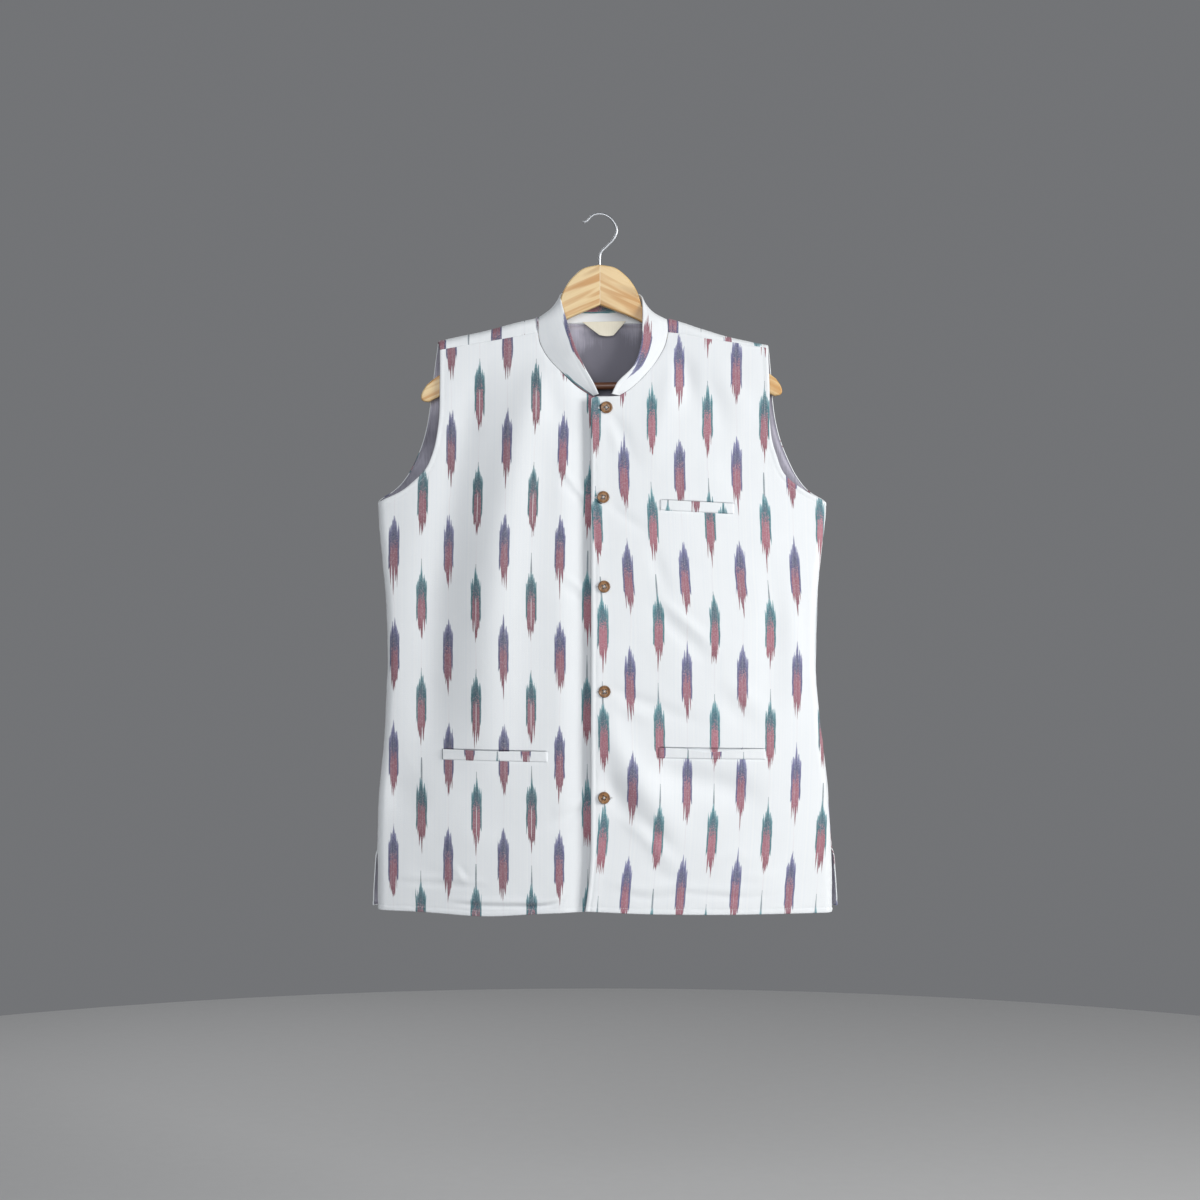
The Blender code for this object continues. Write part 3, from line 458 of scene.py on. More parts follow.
STITCH_IN = 6.0         # topstitching from a finished edge


class Panel:
    """A cut piece: its grid of places and the edges that shape its skin."""

    def __init__(self, name, underlap=False, inward=0.0):
        self.name, self.underlap, self.inward = name, underlap, inward
        self.finished, self.seams, self.marks = [], [], []

    def relief(self, places, marks=True):
        """How far the skin stands off the plain form, from its edges, seams and stitches."""
        p, q = places[..., 0], places[..., 1]
        rise = 0.9 * noise(p, q, 95, 1) + 0.45 * noise(p, q, 38, 2) + 0.1 * noise(p, q, 14, 3)
        for edge, stitched in self.finished:
            d = distance(places, edge)
            rise += edge_round(d, 1.3)
            if stitched:
                rise -= 0.24 * np.exp(-(((d - stitched) / 1.1) ** 2))
                rise += 0.3 * np.exp(-(((d - stitched / 2) / 2.4) ** 2))
                pucker = noise(p, q, 7, 4) + 0.6 * noise(p, q, 3.5, 5)
                rise += 0.22 * pucker * np.exp(-(((d - stitched) / 5.0) ** 2))
        for edge in self.seams:
            d = distance(places, edge)
            rise += edge_round(d, 0.6) * 0.4 - 0.25 * np.exp(-((d / 1.4) ** 2))
            rise += 0.28 * noise(p, q, 9, 6) * np.exp(-((d / 9.0) ** 2))
        if marks:
            for mark in self.marks:
                rise += mark(places)
        return rise

    def skin(self, places, lift=0.0, marks=True):
        """Points of the outer face at these places, this far off it."""
        places = np.asarray(places, float)
        base, normal = self.form(places)
        return base + normal * (self.relief(places, marks) + lift)[..., None]

    def spot(self, x, z, lift=0.0):
        """Point, and the directions outward, across and up, of the skin at x and height."""
        place = on_front([(x, z)])
        point = self.skin(place, lift)[0]
        _, normal = self.form(place)
        out = Vector(normal[0])
        across = (Vector((1, 0, 0)) - out * out.x).normalized()
        return Vector(point), out, across, out.cross(across) * -1

    def form(self, places):
        def at(dp, dq):
            return body_points(places + (dp, dq), self.inward, self.underlap)

        across, down = at(0.4, 0) - at(-0.4, 0), at(0, 0.4) - at(0, -0.4)
        normal = np.cross(down, across)
        return at(0, 0), normal / np.linalg.norm(normal, axis=-1, keepdims=True)


def edge_round(d, radius):
    """The drop of a rounded edge at this distance from it."""
    inside = np.clip(1 - d / radius, 0, 1)
    return -radius * (1 - np.sqrt(1 - inside**2)) * 0.75


def distance(places, line):
    """Distance from each place to a line."""
    flat = places.reshape(-1, 2)
    best = np.full(len(flat), np.inf)
    for a, b in zip(line, line[1:]):
        step = b - a
        size = step @ step
        if size < 1e-9:
            continue
        share = np.clip(((flat - a) @ step) / size, 0, 1)
        gap = flat - a - share[:, None] * step
        best = np.minimum(best, np.einsum("ij,ij->i", gap, gap))
    return np.sqrt(best).reshape(places.shape[:-1])


def patch(bottom, top, left, right):
    """Grid of places between four edges with the same counts of points (a Coons patch)."""
    s = (lengths(bottom) / lengths(bottom)[-1])[None, :, None]
    t = (lengths(left) / lengths(left)[-1])[:, None, None]
    across = (1 - s) * left[:, None] + s * right[:, None]
    along = (1 - t) * bottom[None] + t * top[None]
    corners = (
        (1 - s) * (1 - t) * bottom[0] + s * (1 - t) * bottom[-1]
        + (1 - s) * t * top[0] + s * t * top[-1]
    )
    return across + along - corners


def side_lines(corner, armhole, sign, back):
    """The side seam and the armhole of a panel."""
    place = on_back if back else on_front
    heights = np.linspace(corner[1], armhole[0][1], 90)
    edge = half_width(heights, np.full_like(heights, sign), np.full(90, back))
    seam = place(np.stack([sign * edge, heights], 1))
    seam[:, 0] -= sign * SEAM_HALF_GAP
    hole = place(spline(armhole))
    hole[0] = seam[-1]
    return seam, hole


MOUTH_STEPS = (-14.5, -12.0, -6.0, -2.0, -0.9, -0.3, 0.3, 0.9, 1.5, 2.3, 3.4, 5.0, 8.0)


def mouth_height(name, x):
    _, start, end, start_z, end_z = WELTS[name]
    return start_z + (end_z - start_z) * np.clip((x - start) / (end - start), -0.2, 1.2)


def height_of(places):
    """Height of places on the front, which the creases leave as it is."""
    return smooth(CREST, places[..., 0], 1) - inset_round(places[..., 1])


def snapped(places, mouths):
    """Moves a front's rows so that some run along each pocket mouth."""
    rows, columns = places.shape[:2]
    heights = height_of(places)
    knots = [(0, np.zeros(columns))]
    for name in mouths:
        line = mouth_height(name, places[:, :, 0])
        found = np.array([
            [np.interp(step, heights[:, j] - line[:, j], np.arange(rows)) for j in range(columns)]
            for step in MOUTH_STEPS
        ])
        first = int(round(float(found.mean()))) - len(MOUTH_STEPS) // 2
        knots += [(first + k, found[k]) for k in range(len(MOUTH_STEPS))]
    knots.append((rows - 1, np.full(columns, rows - 1.0)))
    at = np.array([k for k, _ in knots], float)
    value = np.array([r for _, r in knots])
    moved = np.empty_like(places)
    for j in range(columns):
        r = np.interp(np.arange(rows), at, value[:, j])
        for k in (0, 1):
            moved[:, j, k] = np.interp(r, np.arange(rows), places[:, j, k])
    return moved


def mouth_mark(name):
    """The cloth rolls in below a pocket mouth, behind its welt."""
    _, start, end, _, _ = WELTS[name]

    def mark(places):
        x = places[..., 0]
        up = height_of(places) - mouth_height(name, x)
        open_here = ease((x - start) / 3.5) * ease((end - x) / 3.5)
        return -3.4 * open_here * ease((1.0 - up) / 1.3) * ease((up + 12.5) / 2.5)

    return mark


def placket_mark(edge):
    """The placket's edge stands off the underlap and rolls over a little."""
    def mark(places):
        d = distance(places, edge)
        band = ease((places[..., 0] - 40) / -30)
        return band * (2.2 * np.exp(-((d / 14.0) ** 2)) - 0.2 * np.exp(-(((d - 6.0) / 1.8) ** 2))
                       + 0.35 * np.exp(-(((d - 3.0) / 2.0) ** 2)))

    return mark


def joined(*lines):
    return np.vstack([*(line[:-1] for line in lines[:-1]), lines[-1]])


def make_front(side):
    right = side == "right"
    panel = Panel(f"front_{side}", underlap=right)
    hem = on_front(spline(HEM_RIGHT if right else HEM_LEFT))
    neck = on_front(spline(NECK_RIGHT if right else NECK_LEFT))
    shoulder = on_front(spline(SEAM_RIGHT if right else SEAM_LEFT))
    shoulder[:, 1] -= 0.3
    neck[-1] = shoulder[0]
    armhole = ARMHOLE_FRONT_RIGHT if right else ARMHOLE_FRONT_LEFT
    corner = HEM_RIGHT[0] if right else HEM_LEFT[-1]
    seam, hole = side_lines(corner, armhole, -1.0 if right else 1.0, back=False)
    hole[-1] = shoulder[-1]
    if right:
        free = on_front([(UNDERLAP_EDGE, HEM_RIGHT[-1][1]), (UNDERLAP_EDGE, NECK_RIGHT[0][1])])
        hem = hem[::-1]
        start = on_front([(UNDERLAP_EDGE, NECK_RIGHT[0][1]), NECK_RIGHT[0]])
    else:
        free = on_front(spline(PLACKET_EDGE))
        start = on_front(spline([
            PLACKET_EDGE[-1],
            (-11 + 0.12 * PLACKET_CORNER, -232.5 + 0.55 * PLACKET_CORNER),
            (-11 + PLACKET_CORNER, -232.5 + PLACKET_CORNER),
            (8.0, -227.4),
            NECK_LEFT[0],
        ]))
    hem[0], hem[-1] = free[0], seam[0]
    free[-1] = start[0]
    bottom = closing(hem, 92, EDGE_STEPS, SIDE_STEPS)
    top = joined(closing(start, 8, EDGE_STEPS), closing(neck, 34),
                 closing(shoulder, 50, (), SIDE_STEPS))
    inner = closing(free, 200, HEM_STEPS, TOP_STEPS)
    outer = joined(closing(seam, 130, HEM_STEPS), closing(hole, 70, (), TOP_STEPS))
    mouths = ["welt_hip_right"] if right else ["welt_hip_left", "welt_chest"]
    panel.places = snapped(patch(bottom, top, inner, outer), mouths)
    panel.marks = [mouth_mark(name) for name in mouths]
    slit = seam[lengths(seam) < SLIT_LENGTH]
    panel.finished = [(hem, 6.5), (free, 0 if right else STITCH_IN), (hole, STITCH_IN),
                      (slit, 5.0)]
    if not right:
        panel.finished.append((start, 0))
        panel.marks.append(placket_mark(free))
    panel.seams = [seam[lengths(seam) > SLIT_LENGTH - 8], neck, shoulder]
    panel.lines = {"hem": hem, "free": free, "start": start, "armhole": hole, "slit": slit,
                   "neck": neck, "shoulder": shoulder}
    return panel


SLIT_LENGTH = 82.0


def make_back():
    panel = Panel("back")
    seams, holes = [], []
    for armhole, sign, corner in (
        (ARMHOLE_BACK_RIGHT, -1.0, HEM_BACK[0]),
        (ARMHOLE_BACK_LEFT, 1.0, HEM_BACK[-1]),
    ):
        seam, hole = side_lines(corner, armhole, sign, back=True)
        seams.append(seam)
        holes.append(hole)
    right_top = on_front(spline(SEAM_RIGHT))
    left_top = on_front(spline(SEAM_LEFT))
    edges, overs = [], []
    for seam, hole, tip in ((seams[0], holes[0], right_top[-1]),
                            (seams[1], holes[1], left_top[-1])):
        over = spline([*hole[::8], (hole[-1] + tip) / 2, tip], 8)
        over[0] = seam[-1]
        overs.append(over)
        edges.append(joined(closing(seam, 120, EDGE_STEPS), closing(over, 70, (), OVER_STEPS)))
    back_neck = on_back(spline(BACK_NECK))
    turns = [
        spline([right_top[0], (right_top[0] + back_neck[0]) / 2, back_neck[0]]),
        spline([back_neck[-1], (left_top[0] + back_neck[-1]) / 2, left_top[0]]),
    ]
    neck = joined(closing(turns[0], 9), closing(back_neck, 44), closing(turns[1], 9))
    top = joined(closing(right_top[::-1], 34, SIDE_STEPS), neck,
                 closing(left_top, 34, (), SIDE_STEPS))
    hem = on_back(spline(HEM_BACK))
    hem[0], hem[-1] = edges[0][0], edges[1][0]
    bottom = closing(hem, 34 * 2 + 62, SIDE_STEPS, SIDE_STEPS)
    panel.places = patch(bottom, top, edges[0], edges[1])
    slits = [seam[lengths(seam) < SLIT_LENGTH] for seam in seams]
    panel.finished = [(hem, 6.5), (overs[0], STITCH_IN), (overs[1], STITCH_IN),
                      (slits[0], 5.0), (slits[1], 5.0)]
    panel.seams = [*(seam[lengths(seam) > SLIT_LENGTH - 8] for seam in seams), neck,
                   right_top, left_top]
    panel.lines = {"hem": hem, "armhole_right": overs[0], "armhole_left": overs[1],
                   "slit_right": slits[0], "slit_left": slits[1], "neck": neck}
    return panel


def make_lining():
    panel = Panel("lining_back", inward=WALL + LINING_GAP)
    heights = np.linspace(-855.0, -368.0, 40)
    edges = []
    for armhole, sign in ((ARMHOLE_BACK_RIGHT, -1.0), (ARMHOLE_BACK_LEFT, 1.0)):
        reach = half_width(heights, np.full(40, sign), np.full(40, False)) - 8.0
        seam = on_back(np.stack([sign * reach, heights], 1))
        hole = on_back(spline([(x - sign * 4.0, z) for x, z in armhole[1:]]))
        edges.append(spaced(np.vstack([seam, hole[6:]]), np.linspace(0, 1, 121)))
    neck = on_back(spline(LINING_NECK))
    top = spaced(np.vstack([edges[0][-1:], neck, edges[1][-1:]]), np.linspace(0, 1, 101))
    hem = on_back([(-268.0, -855.0), (0, -856.0), (274.0, -855.0)])
    hem[0], hem[-1] = edges[0][0], edges[1][0]
    panel.places = patch(spaced(hem, np.linspace(0, 1, 101)), top, edges[0], edges[1])
    panel.lines = {"neck": neck}
    return panel


# --- meshes ------------------------------------------------------------------------------

def new_object(name, mesh, materials):
    obj = bpy.data.objects.new(name, mesh)
    for material in materials:
        mesh.materials.append(material)
    bpy.context.scene.collection.objects.link(obj)
    return obj


def grid_mesh(name, points, flip=False, uv=None, close=False):
    """A mesh through a grid of points in millimetres, with its UV map from a like grid."""
    rows, columns = points.shape[:2]
    index = np.arange(rows * columns).reshape(rows, columns)
    if close:
        index = np.concatenate([index, index[:, :1]], axis=1)
    faces = np.stack([index[:-1, :-1], index[:-1, 1:], index[1:, 1:], index[1:, :-1]], -1)
    faces = faces.reshape(-1, 4)
    if flip:
        faces = faces[:, ::-1]
    mesh = bpy.data.meshes.new(name)
    mesh.vertices.add(rows * columns)
    mesh.vertices.foreach_set("co", (points.reshape(-1) * MM).astype(np.float32))
    mesh.loops.add(faces.size)
    mesh.loops.foreach_set("vertex_index", faces.reshape(-1).astype(np.int32))
    mesh.polygons.add(len(faces))
    mesh.polygons.foreach_set("loop_start", np.arange(0, faces.size, 4, dtype=np.int32))
    mesh.update(calc_edges=True)
    mesh.shade_smooth()
    if uv is not None:
        layer = mesh.uv_layers.new(name="cut")
        flat = uv.reshape(-1, 2)[faces.reshape(-1)] * MM
        layer.data.foreach_set("uv", flat.reshape(-1).astype(np.float32))
    return mesh


def wall(obj, thickness, inner=0):
    """Gives a sheet its thickness on the inner side."""
    solid = obj.modifiers.new("wall", "SOLIDIFY")
    solid.thickness = thickness * MM
    solid.offset = -1.0
    solid.material_offset = inner
    return obj


def tube_mesh(name, lines, radii, sides=8):
    """One mesh of round tubes along lines, in millimetres, each with closed ends."""
    shape = bmesh.new()
    for line, radius in zip(lines, radii):
        line = np.asarray(line, float)
        tangents = np.gradient(line, axis=0)
        tangents /= np.linalg.norm(tangents, axis=1)[:, None] + 1e-12
        side = np.cross(tangents[0], (0.31, 0.77, 0.56))
        rings = []
        sizes = np.broadcast_to(np.asarray(radius, float), (len(line),))
        for point, tangent, size in zip(line, tangents, sizes):
            side = side - tangent * (side @ tangent)
            side /= np.linalg.norm(side)
            other = np.cross(tangent, side)
            turns = np.arange(sides) * 2 * math.pi / sides
            ring = point + size * (np.cos(turns)[:, None] * side + np.sin(turns)[:, None] * other)
            rings.append([shape.verts.new(Vector(c) * MM) for c in ring])
        for a, b in zip(rings, rings[1:]):
            for k in range(sides):
                m = (k + 1) % sides
                shape.faces.new((a[k], a[m], b[m], b[k]))
        shape.faces.new(rings[0][::-1])
        shape.faces.new(rings[-1])
    mesh = bpy.data.meshes.new(name)
    shape.to_mesh(mesh)
    shape.free()
    mesh.shade_smooth()
    return mesh


def ride(obj, slot, *nodes):
    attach(obj, "root")
    if nodes:
        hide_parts(*nodes)
    return obj


# --- materials ---------------------------------------------------------------------------

class Field:
    """A number in a node tree, with arithmetic."""

    def __init__(self, graph, socket):
        self.graph, self.socket = graph, socket

    def _with(self, operation, *others):
        return self.graph.math(operation, self, *others)

    def __add__(self, other):
        return self._with("ADD", other)

    def __radd__(self, other):
        return self._with("ADD", other)

    def __sub__(self, other):
        return self._with("SUBTRACT", other)

    def __rsub__(self, other):
        return self.graph.math("SUBTRACT", other, self)

    def __mul__(self, other):
        return self._with("MULTIPLY", other)

    def __rmul__(self, other):
        return self._with("MULTIPLY", other)

    def __truediv__(self, other):
        return self._with("DIVIDE", other)

    def floor(self):
        return self._with("FLOOR")

    def abs(self):
        return self._with("ABSOLUTE")

    def sine(self):
        return self._with("SINE")

    def most(self, other):
        return self._with("MAXIMUM", other)

    def over(self, other):
        return self._with("GREATER_THAN", other)

    def step(self, low, high):
        """0 below low, 1 above high, smooth between; low may be over high."""
        made = self.graph.node("ShaderNodeMapRange", interpolation_type="SMOOTHSTEP",
                               inputs={"Value": self, "From Min": low, "From Max": high})
        return Field(self.graph, made.outputs["Result"])


class Graph:
    """A material's node tree."""

    def __init__(self, name):
        self.material = bpy.data.materials.new(name)
        self.material.use_nodes = True
        self.tree = self.material.node_tree
        self.shader = self.tree.nodes["Principled BSDF"]

    def node(self, kind, inputs=None, **settings):
        made = self.tree.nodes.new(kind)
        for key, value in settings.items():
            setattr(made, key, value)
        for key, value in (inputs or {}).items():
            self.feed(made.inputs[key], value)
        return made

    def feed(self, socket, value):
        if isinstance(value, Field):
            value = value.socket
        if isinstance(value, bpy.types.NodeSocket):
            self.tree.links.new(value, socket)
        else:
            socket.default_value = value

    def math(self, operation, *values):
        made = self.node("ShaderNodeMath", operation=operation)
        for socket, value in zip(made.inputs, values):
            self.feed(socket, value)
        return Field(self, made.outputs[0])

    def split(self, vector):
        made = self.node("ShaderNodeSeparateXYZ", inputs={0: vector})
        return [Field(self, socket) for socket in made.outputs]

    def join(self, *values):
        made = self.node("ShaderNodeCombineXYZ", inputs=dict(enumerate(values)))
        return made.outputs[0]

    def uv(self, name="cut"):
        u, v, _ = self.split(self.node("ShaderNodeUVMap", uv_map=name).outputs[0])
        return u * 1000, v * 1000

    def place(self):
        return self.node("ShaderNodeTexCoord").outputs["Object"]

    def random(self, *values):
        """A random number for these whole numbers."""
        made = self.node("ShaderNodeTexWhiteNoise", noise_dimensions="3D",
                         inputs={"Vector": self.join(*values)})
        return Field(self, made.outputs["Value"])

    def noise(self, vector, scale, detail=2.0, roughness=0.5, distortion=0.0):
        made = self.node("ShaderNodeTexNoise", inputs={
            "Vector": vector, "Scale": scale, "Detail": detail, "Roughness": roughness,
            "Distortion": distortion})
        return Field(self, made.outputs[0])

    def wander(self, value, detail=0.0):
        """Smooth noise along one number, changing over about one unit."""
        made = self.node("ShaderNodeTexNoise", noise_dimensions="1D",
                         inputs={"W": value, "Scale": 1.0, "Detail": detail})
        return Field(self, made.outputs[0])

    def mix(self, share, a, b, blend="MIX"):
        made = self.node("ShaderNodeMix", data_type="RGBA", blend_type=blend)
        for index, value in ((0, share), (6, a), (7, b)):
            self.feed(made.inputs[index], value)
        return made.outputs[2]

    def bump(self, height, distance, strength=1.0, under=None):
        inputs = {"Height": height, "Distance": distance * MM, "Strength": strength}
        if under is not None:
            inputs["Normal"] = under
        return self.node("ShaderNodeBump", inputs=inputs).outputs[0]

    def finish(self, **values):
        for key, value in values.items():
            self.feed(self.shader.inputs[key.replace("_", " ")], value)
        return self.material


def rgb(red, green, blue):
    """A screen colour, 0 to 255, as linear light."""
    def one(c):
        c /= 255
        return c / 12.92 if c <= 0.04045 else ((c + 0.055) / 1.055) ** 2.4
    return (one(red), one(green), one(blue), 1.0)


def weave(g, u, v, thread=0.55):
    """Height of a plain weave, with slubs along both threads."""
    across = (u * (math.pi / thread)).sine()
    down = (v * (math.pi / thread)).sine()
    slub = g.noise(g.join(u * 0.9, v * 0.06, 0.0), 1.0, 2.0)
    pick = g.noise(g.join(u * 0.05, v * 0.9, 0.0), 1.0, 2.0)
    return across * down * 0.5 + slub * 1.2 + pick * 1.2


def ikat_cloth(name):
    """White cotton, warp ikat of teal and violet motifs that end in rose, with painted shade on the
    motifs of the wearer's right front.
    """
    g = Graph(name)
    u, v = g.uv()
    column = (u / PITCH + 0.5).floor()
    odd = column - (column / 2.0).floor() * 2.0
    own = g.random(column, 3.0, 0.0)
    level = v / PERIOD + odd * 0.5 + (own - 0.5) * 0.03
    row = (level + 0.5).floor()
    y = (level - row) * PERIOD
    first, second = g.random(column, row, 1.0), g.random(column, row, 2.0)
    x = u - column * PITCH - (first - 0.5) * 1.6
    side = x.abs()
    thread, pick = (u / 0.5).floor(), (v / 0.5).floor()
    ragged = g.random(thread, row, 4.0) - 0.5
    speck = g.random(thread, pick, 5.0) - 0.5
    coarse = g.random((u / 1.0).floor(), (v / 1.3).floor(), 6.0) - 0.5
    shift = row * 7.9 + column * 3.7
    tuft = g.wander(u / 1.9 + shift) - 0.5
    tuft_low = g.wander(u / 1.7 + shift + 51.3) - 0.5

    width = 6.5 + (second - 0.5) * 0.8 + (g.wander(v / 14.0 + shift) - 0.5) * 0.8
    within = side.step(width + 0.4, width - 0.4)
    top_teal = side.step(0.6, 6.4) * 11.0 - 34.5
    top_violet = side.step(0.4, 6.2) * 13.0 - 38.0
    top = top_teal + (top_violet - top_teal) * odd - side.step(1.7, 0.2) * 5.0
    top = top + tuft * 17.0 + ragged * 4.0
    side_end = 22.0 + tuft_low * 14.0 + ragged * 3.0
    core_end = 39.0 - side * 1.6 + side.step(1.6, 0.3) * 6.0 + tuft_low * 34.0 + ragged * 5.0
    core = side.step(width - 1.4, width - 2.3)
    end = side_end + (core_end - side_end) * core
    body = within * (y - top).step(-1.0, 1.2) * (y - end).step(1.4, -1.4)

    tip = 44.0 + second * second * 32.0
    taper = (y + tip).step(0.0, 24.0)
    line = (side - (0.25 + taper * 0.75)).step(0.25, -0.15) * (y + tip).over(0.0)
    line = line * (y * -1.0).over(14.0) * (1.0 - odd)
    cover = body.most(line * 0.9)

    turn = y + 6.0 + speck * 12.0 + coarse * 12.0 + tuft * 10.0 - (1.0 - core) * 42.0
    rosy = turn.step(-4.0, 4.0)
    teal = g.mix((y - top).step(1.0, 11.0), rgb(96, 164, 174), rgb(58, 128, 138))
    violet = g.mix((y - top).step(2.0, 16.0), rgb(126, 128, 176), rgb(96, 98, 144))
    upper = g.mix(odd, teal, violet)
    murk = side.step(5.8, 1.0) * (y + 12.0).abs().step(20.0, 4.0)
    upper = g.mix(murk * (speck + 0.75) * 0.7, upper, rgb(88, 92, 112))
    rose = g.mix((y - 16.0).step(0.0, 24.0), rgb(182, 112, 126), rgb(152, 80, 94))
    rose = g.mix(odd * 0.35, rose, rgb(150, 92, 110))
    ink = g.mix(rosy, upper, rose)
    ink = g.mix(line * (1.0 - body), ink, rgb(66, 98, 112))
    ink = g.mix(g.random(thread, row, 8.0) * 0.26, ink, rgb(70, 56, 72))
    right_of_wearer, _, _ = g.split(g.place())
    # Painted shade: motifs on the wearer's right front (x below 0), which turns away from the key
    # lamp, are darkened. The random part is each motif's own dye strength.
    darkening = right_of_wearer.step(0.0, -0.1) * 0.3 + g.random(column, row, 7.0) * 0.22
    ink = g.mix(darkening, ink, rgb(140, 140, 146), "MULTIPLY")
    pale = (speck + 0.5) * 0.14 + (coarse + 0.5).step(0.5, 1.0) * 0.1
    pale = pale + g.random(thread, 9.0, 0.0).step(0.75, 1.0) * 0.12
    pale = pale + (y - top).step(9.0, 0.0) * 0.16
    cored = right_of_wearer.step(-0.182, -0.176) * right_of_wearer.step(-0.056, -0.062)
    spared = (1.0 - odd) * cored * (side - 0.25).step(0.35, -0.1)
    spared = spared * (y - 13.0).abs().step(22.0, 14.0)
    cover = cover * (1.0 - pale) * (1.0 - spared * 0.8)

    streak = g.wander(u / 2.6, 3.0) - 0.5
    ground = g.mix(streak + 0.5, rgb(230, 234, 238), rgb(238, 240, 241))
    hint = (side - 0.5).step(0.5, -0.3) * 0.16 * g.wander(v / 40.0 + column * 5.1)
    ground = g.mix(hint, ground, rgb(204, 178, 184))
    colour = g.mix(cover, ground, ink)
    height = weave(g, u, v)
    return g.finish(
        Base_Color=colour, Roughness=0.86, Normal=g.bump(height, 0.09, 0.7),
        Sheen_Weight=0.1, Sheen_Roughness=0.5, Specular_IOR_Level=0.25)


def plain_cloth(name, light, dark, thread=0.45, painted_neck_shade=0.0):
    g = Graph(name)
    u, v = g.uv()
    mottle = g.noise(g.join(u * 0.022, v * 0.016, 0.0), 1.0, 4.0)
    slub = g.noise(g.join(u * 1.2, v * 0.03, 0.0), 1.0, 2.0)
    cloud = mottle * 0.72 + slub * 0.28
    # Painted shade: a darker patch on the lining at the back neck, where the collar shades the
    # inside of the neck.
    if painted_neck_shade:
        x, _, z = g.split(g.place())
        away = g.math("SQRT", (x - 0.012) * (x - 0.012) * 1.6 + (z + 0.195) * (z + 0.195))
        cloud = cloud - away.step(0.085, 0.02) * painted_neck_shade
    colour = g.mix(cloud.step(0.3, 0.66), dark, light)
    return g.finish(
        Base_Color=colour, Roughness=0.7, Normal=g.bump(weave(g, u, v, thread), 0.08, 0.7),
        Sheen_Weight=0.15, Sheen_Roughness=0.4, Specular_IOR_Level=0.3)


def thread_cotton(name, colour):
    g = Graph(name)
    place = g.place()
    twist = g.noise(place, 1800.0, 2.0)
    return g.finish(Base_Color=g.mix(twist, colour, tuple(0.88 * c for c in colour[:3]) + (1,)),
                    Roughness=0.75, Normal=g.bump(twist, 0.05), Sheen_Weight=0.2)


def wood(name, pale, dark, slope, glue=False):
    """Varnished wood whose grain runs along a slope in the XZ plane, with painted shade on its
    rounded edges and sides.
    """
    g = Graph(name)
    x, y, z = g.split(g.place())
    cosine, sine = math.cos(slope), math.sin(slope)
    along = x * cosine + z * sine
    across = z * cosine - x * sine
    rings = g.noise(g.join(along * 3.4, y * 20.0, across * 44.0), 1.0, 2.0, 0.5, 0.25)
    bands = (rings * 30.0).sine() * 0.5 + 0.5
    fibre = g.noise(g.join(along * 22.0, y * 500.0, across * 900.0), 1.0, 3.0, 0.6)
    broad = g.noise(g.join(along * 6.0, y * 12.0, across * 60.0), 1.0, 2.0)
    share = bands.step(0.3, 1.0) * 0.5 + (fibre - 0.5) * 0.6 + (broad - 0.42) * 1.7
    colour = g.mix(share.step(0.0, 0.95), pale, dark)
    knots = g.noise(g.join(along * 7.0, y * 10.0, across * 70.0), 1.0, 1.0)
    colour = g.mix(knots.step(0.58, 0.74) * 0.45, colour, tuple(0.62 * c for c in dark[:3]) + (1,))
    # Painted shade: the rounded edges and sides of the wood, off its flat faces, are darkened.
    edge = (y.abs() * 1000.0).step(5.7, 4.6)
    colour = g.mix(edge * 0.45, colour, tuple(0.6 * c for c in dark[:3]) + (1,))
    if glue:
        colour = g.mix((x.abs() * 1000.0).step(0.55, 0.15) * 0.55, colour, rgb(240, 226, 196))
    return g.finish(
        Base_Color=colour, Roughness=fibre * 0.2 + 0.3, Normal=g.bump(fibre, 0.12, 0.5),
        Coat_Weight=0.3, Coat_Roughness=0.2)


def steel(name):
    g = Graph(name)
    x, y, z = g.split(g.place())
    drawn = g.noise(g.join(x * 900.0, y * 900.0, z * 60.0), 1.0, 2.0)
    return g.finish(Base_Color=(0.50, 0.51, 0.53, 1), Metallic=1.0,
                    Roughness=drawn * 0.16 + 0.3, Normal=g.bump(drawn, 0.02, 0.4))


def shell_button(name):
    """Turned coconut shell: brown, with fine paler flecks, a darker rim and painted shade in its
    thread holes.
    """
    g = Graph(name)
    x, y, z = g.split(g.place())
    radius = g.math("SQRT", x * x + y * y)
    flecks = g.noise(g.join(x * 900.0, y * 500.0, z * 260.0), 1.0, 3.0, 0.6)
    streaks = g.noise(g.join(x * 160.0, y * 160.0, z * 420.0), 1.0, 2.0)
    colour = g.mix(streaks.step(0.3, 0.7), rgb(116, 78, 44), rgb(160, 116, 72))
    colour = g.mix(flecks.step(0.56, 0.74) * 0.6, colour, rgb(200, 160, 112))
    colour = g.mix((radius * 1000.0).step(6.5, 7.4) * 0.55, colour, rgb(62, 38, 22))
    # Painted shade: the walls of the thread holes are nearly black, standing in for the shade deep
    # inside them.
    darkening = (z * 1000.0).step(1.5, 1.1) * (radius * 1000.0).step(4.4, 4.2)
    colour = g.mix(darkening, colour, rgb(22, 15, 12))
    return g.finish(Base_Color=colour, Roughness=flecks * 0.2 + 0.28,
                    Normal=g.bump(flecks, 0.06, 0.6), Coat_Weight=0.15)


CLOTH = ikat_cloth("ikat_cotton")
# The lining's mottle is its own tone; the patch at the back neck is painted shade.
LINING = plain_cloth("lilac_lining", rgb(186, 183, 197), rgb(122, 120, 131), painted_neck_shade=0.34)
LABEL_TAPE = plain_cloth("label_tape", rgb(238, 232, 214), rgb(226, 219, 200), 0.3)
THREAD = thread_cotton("cotton_thread", rgb(236, 238, 240))
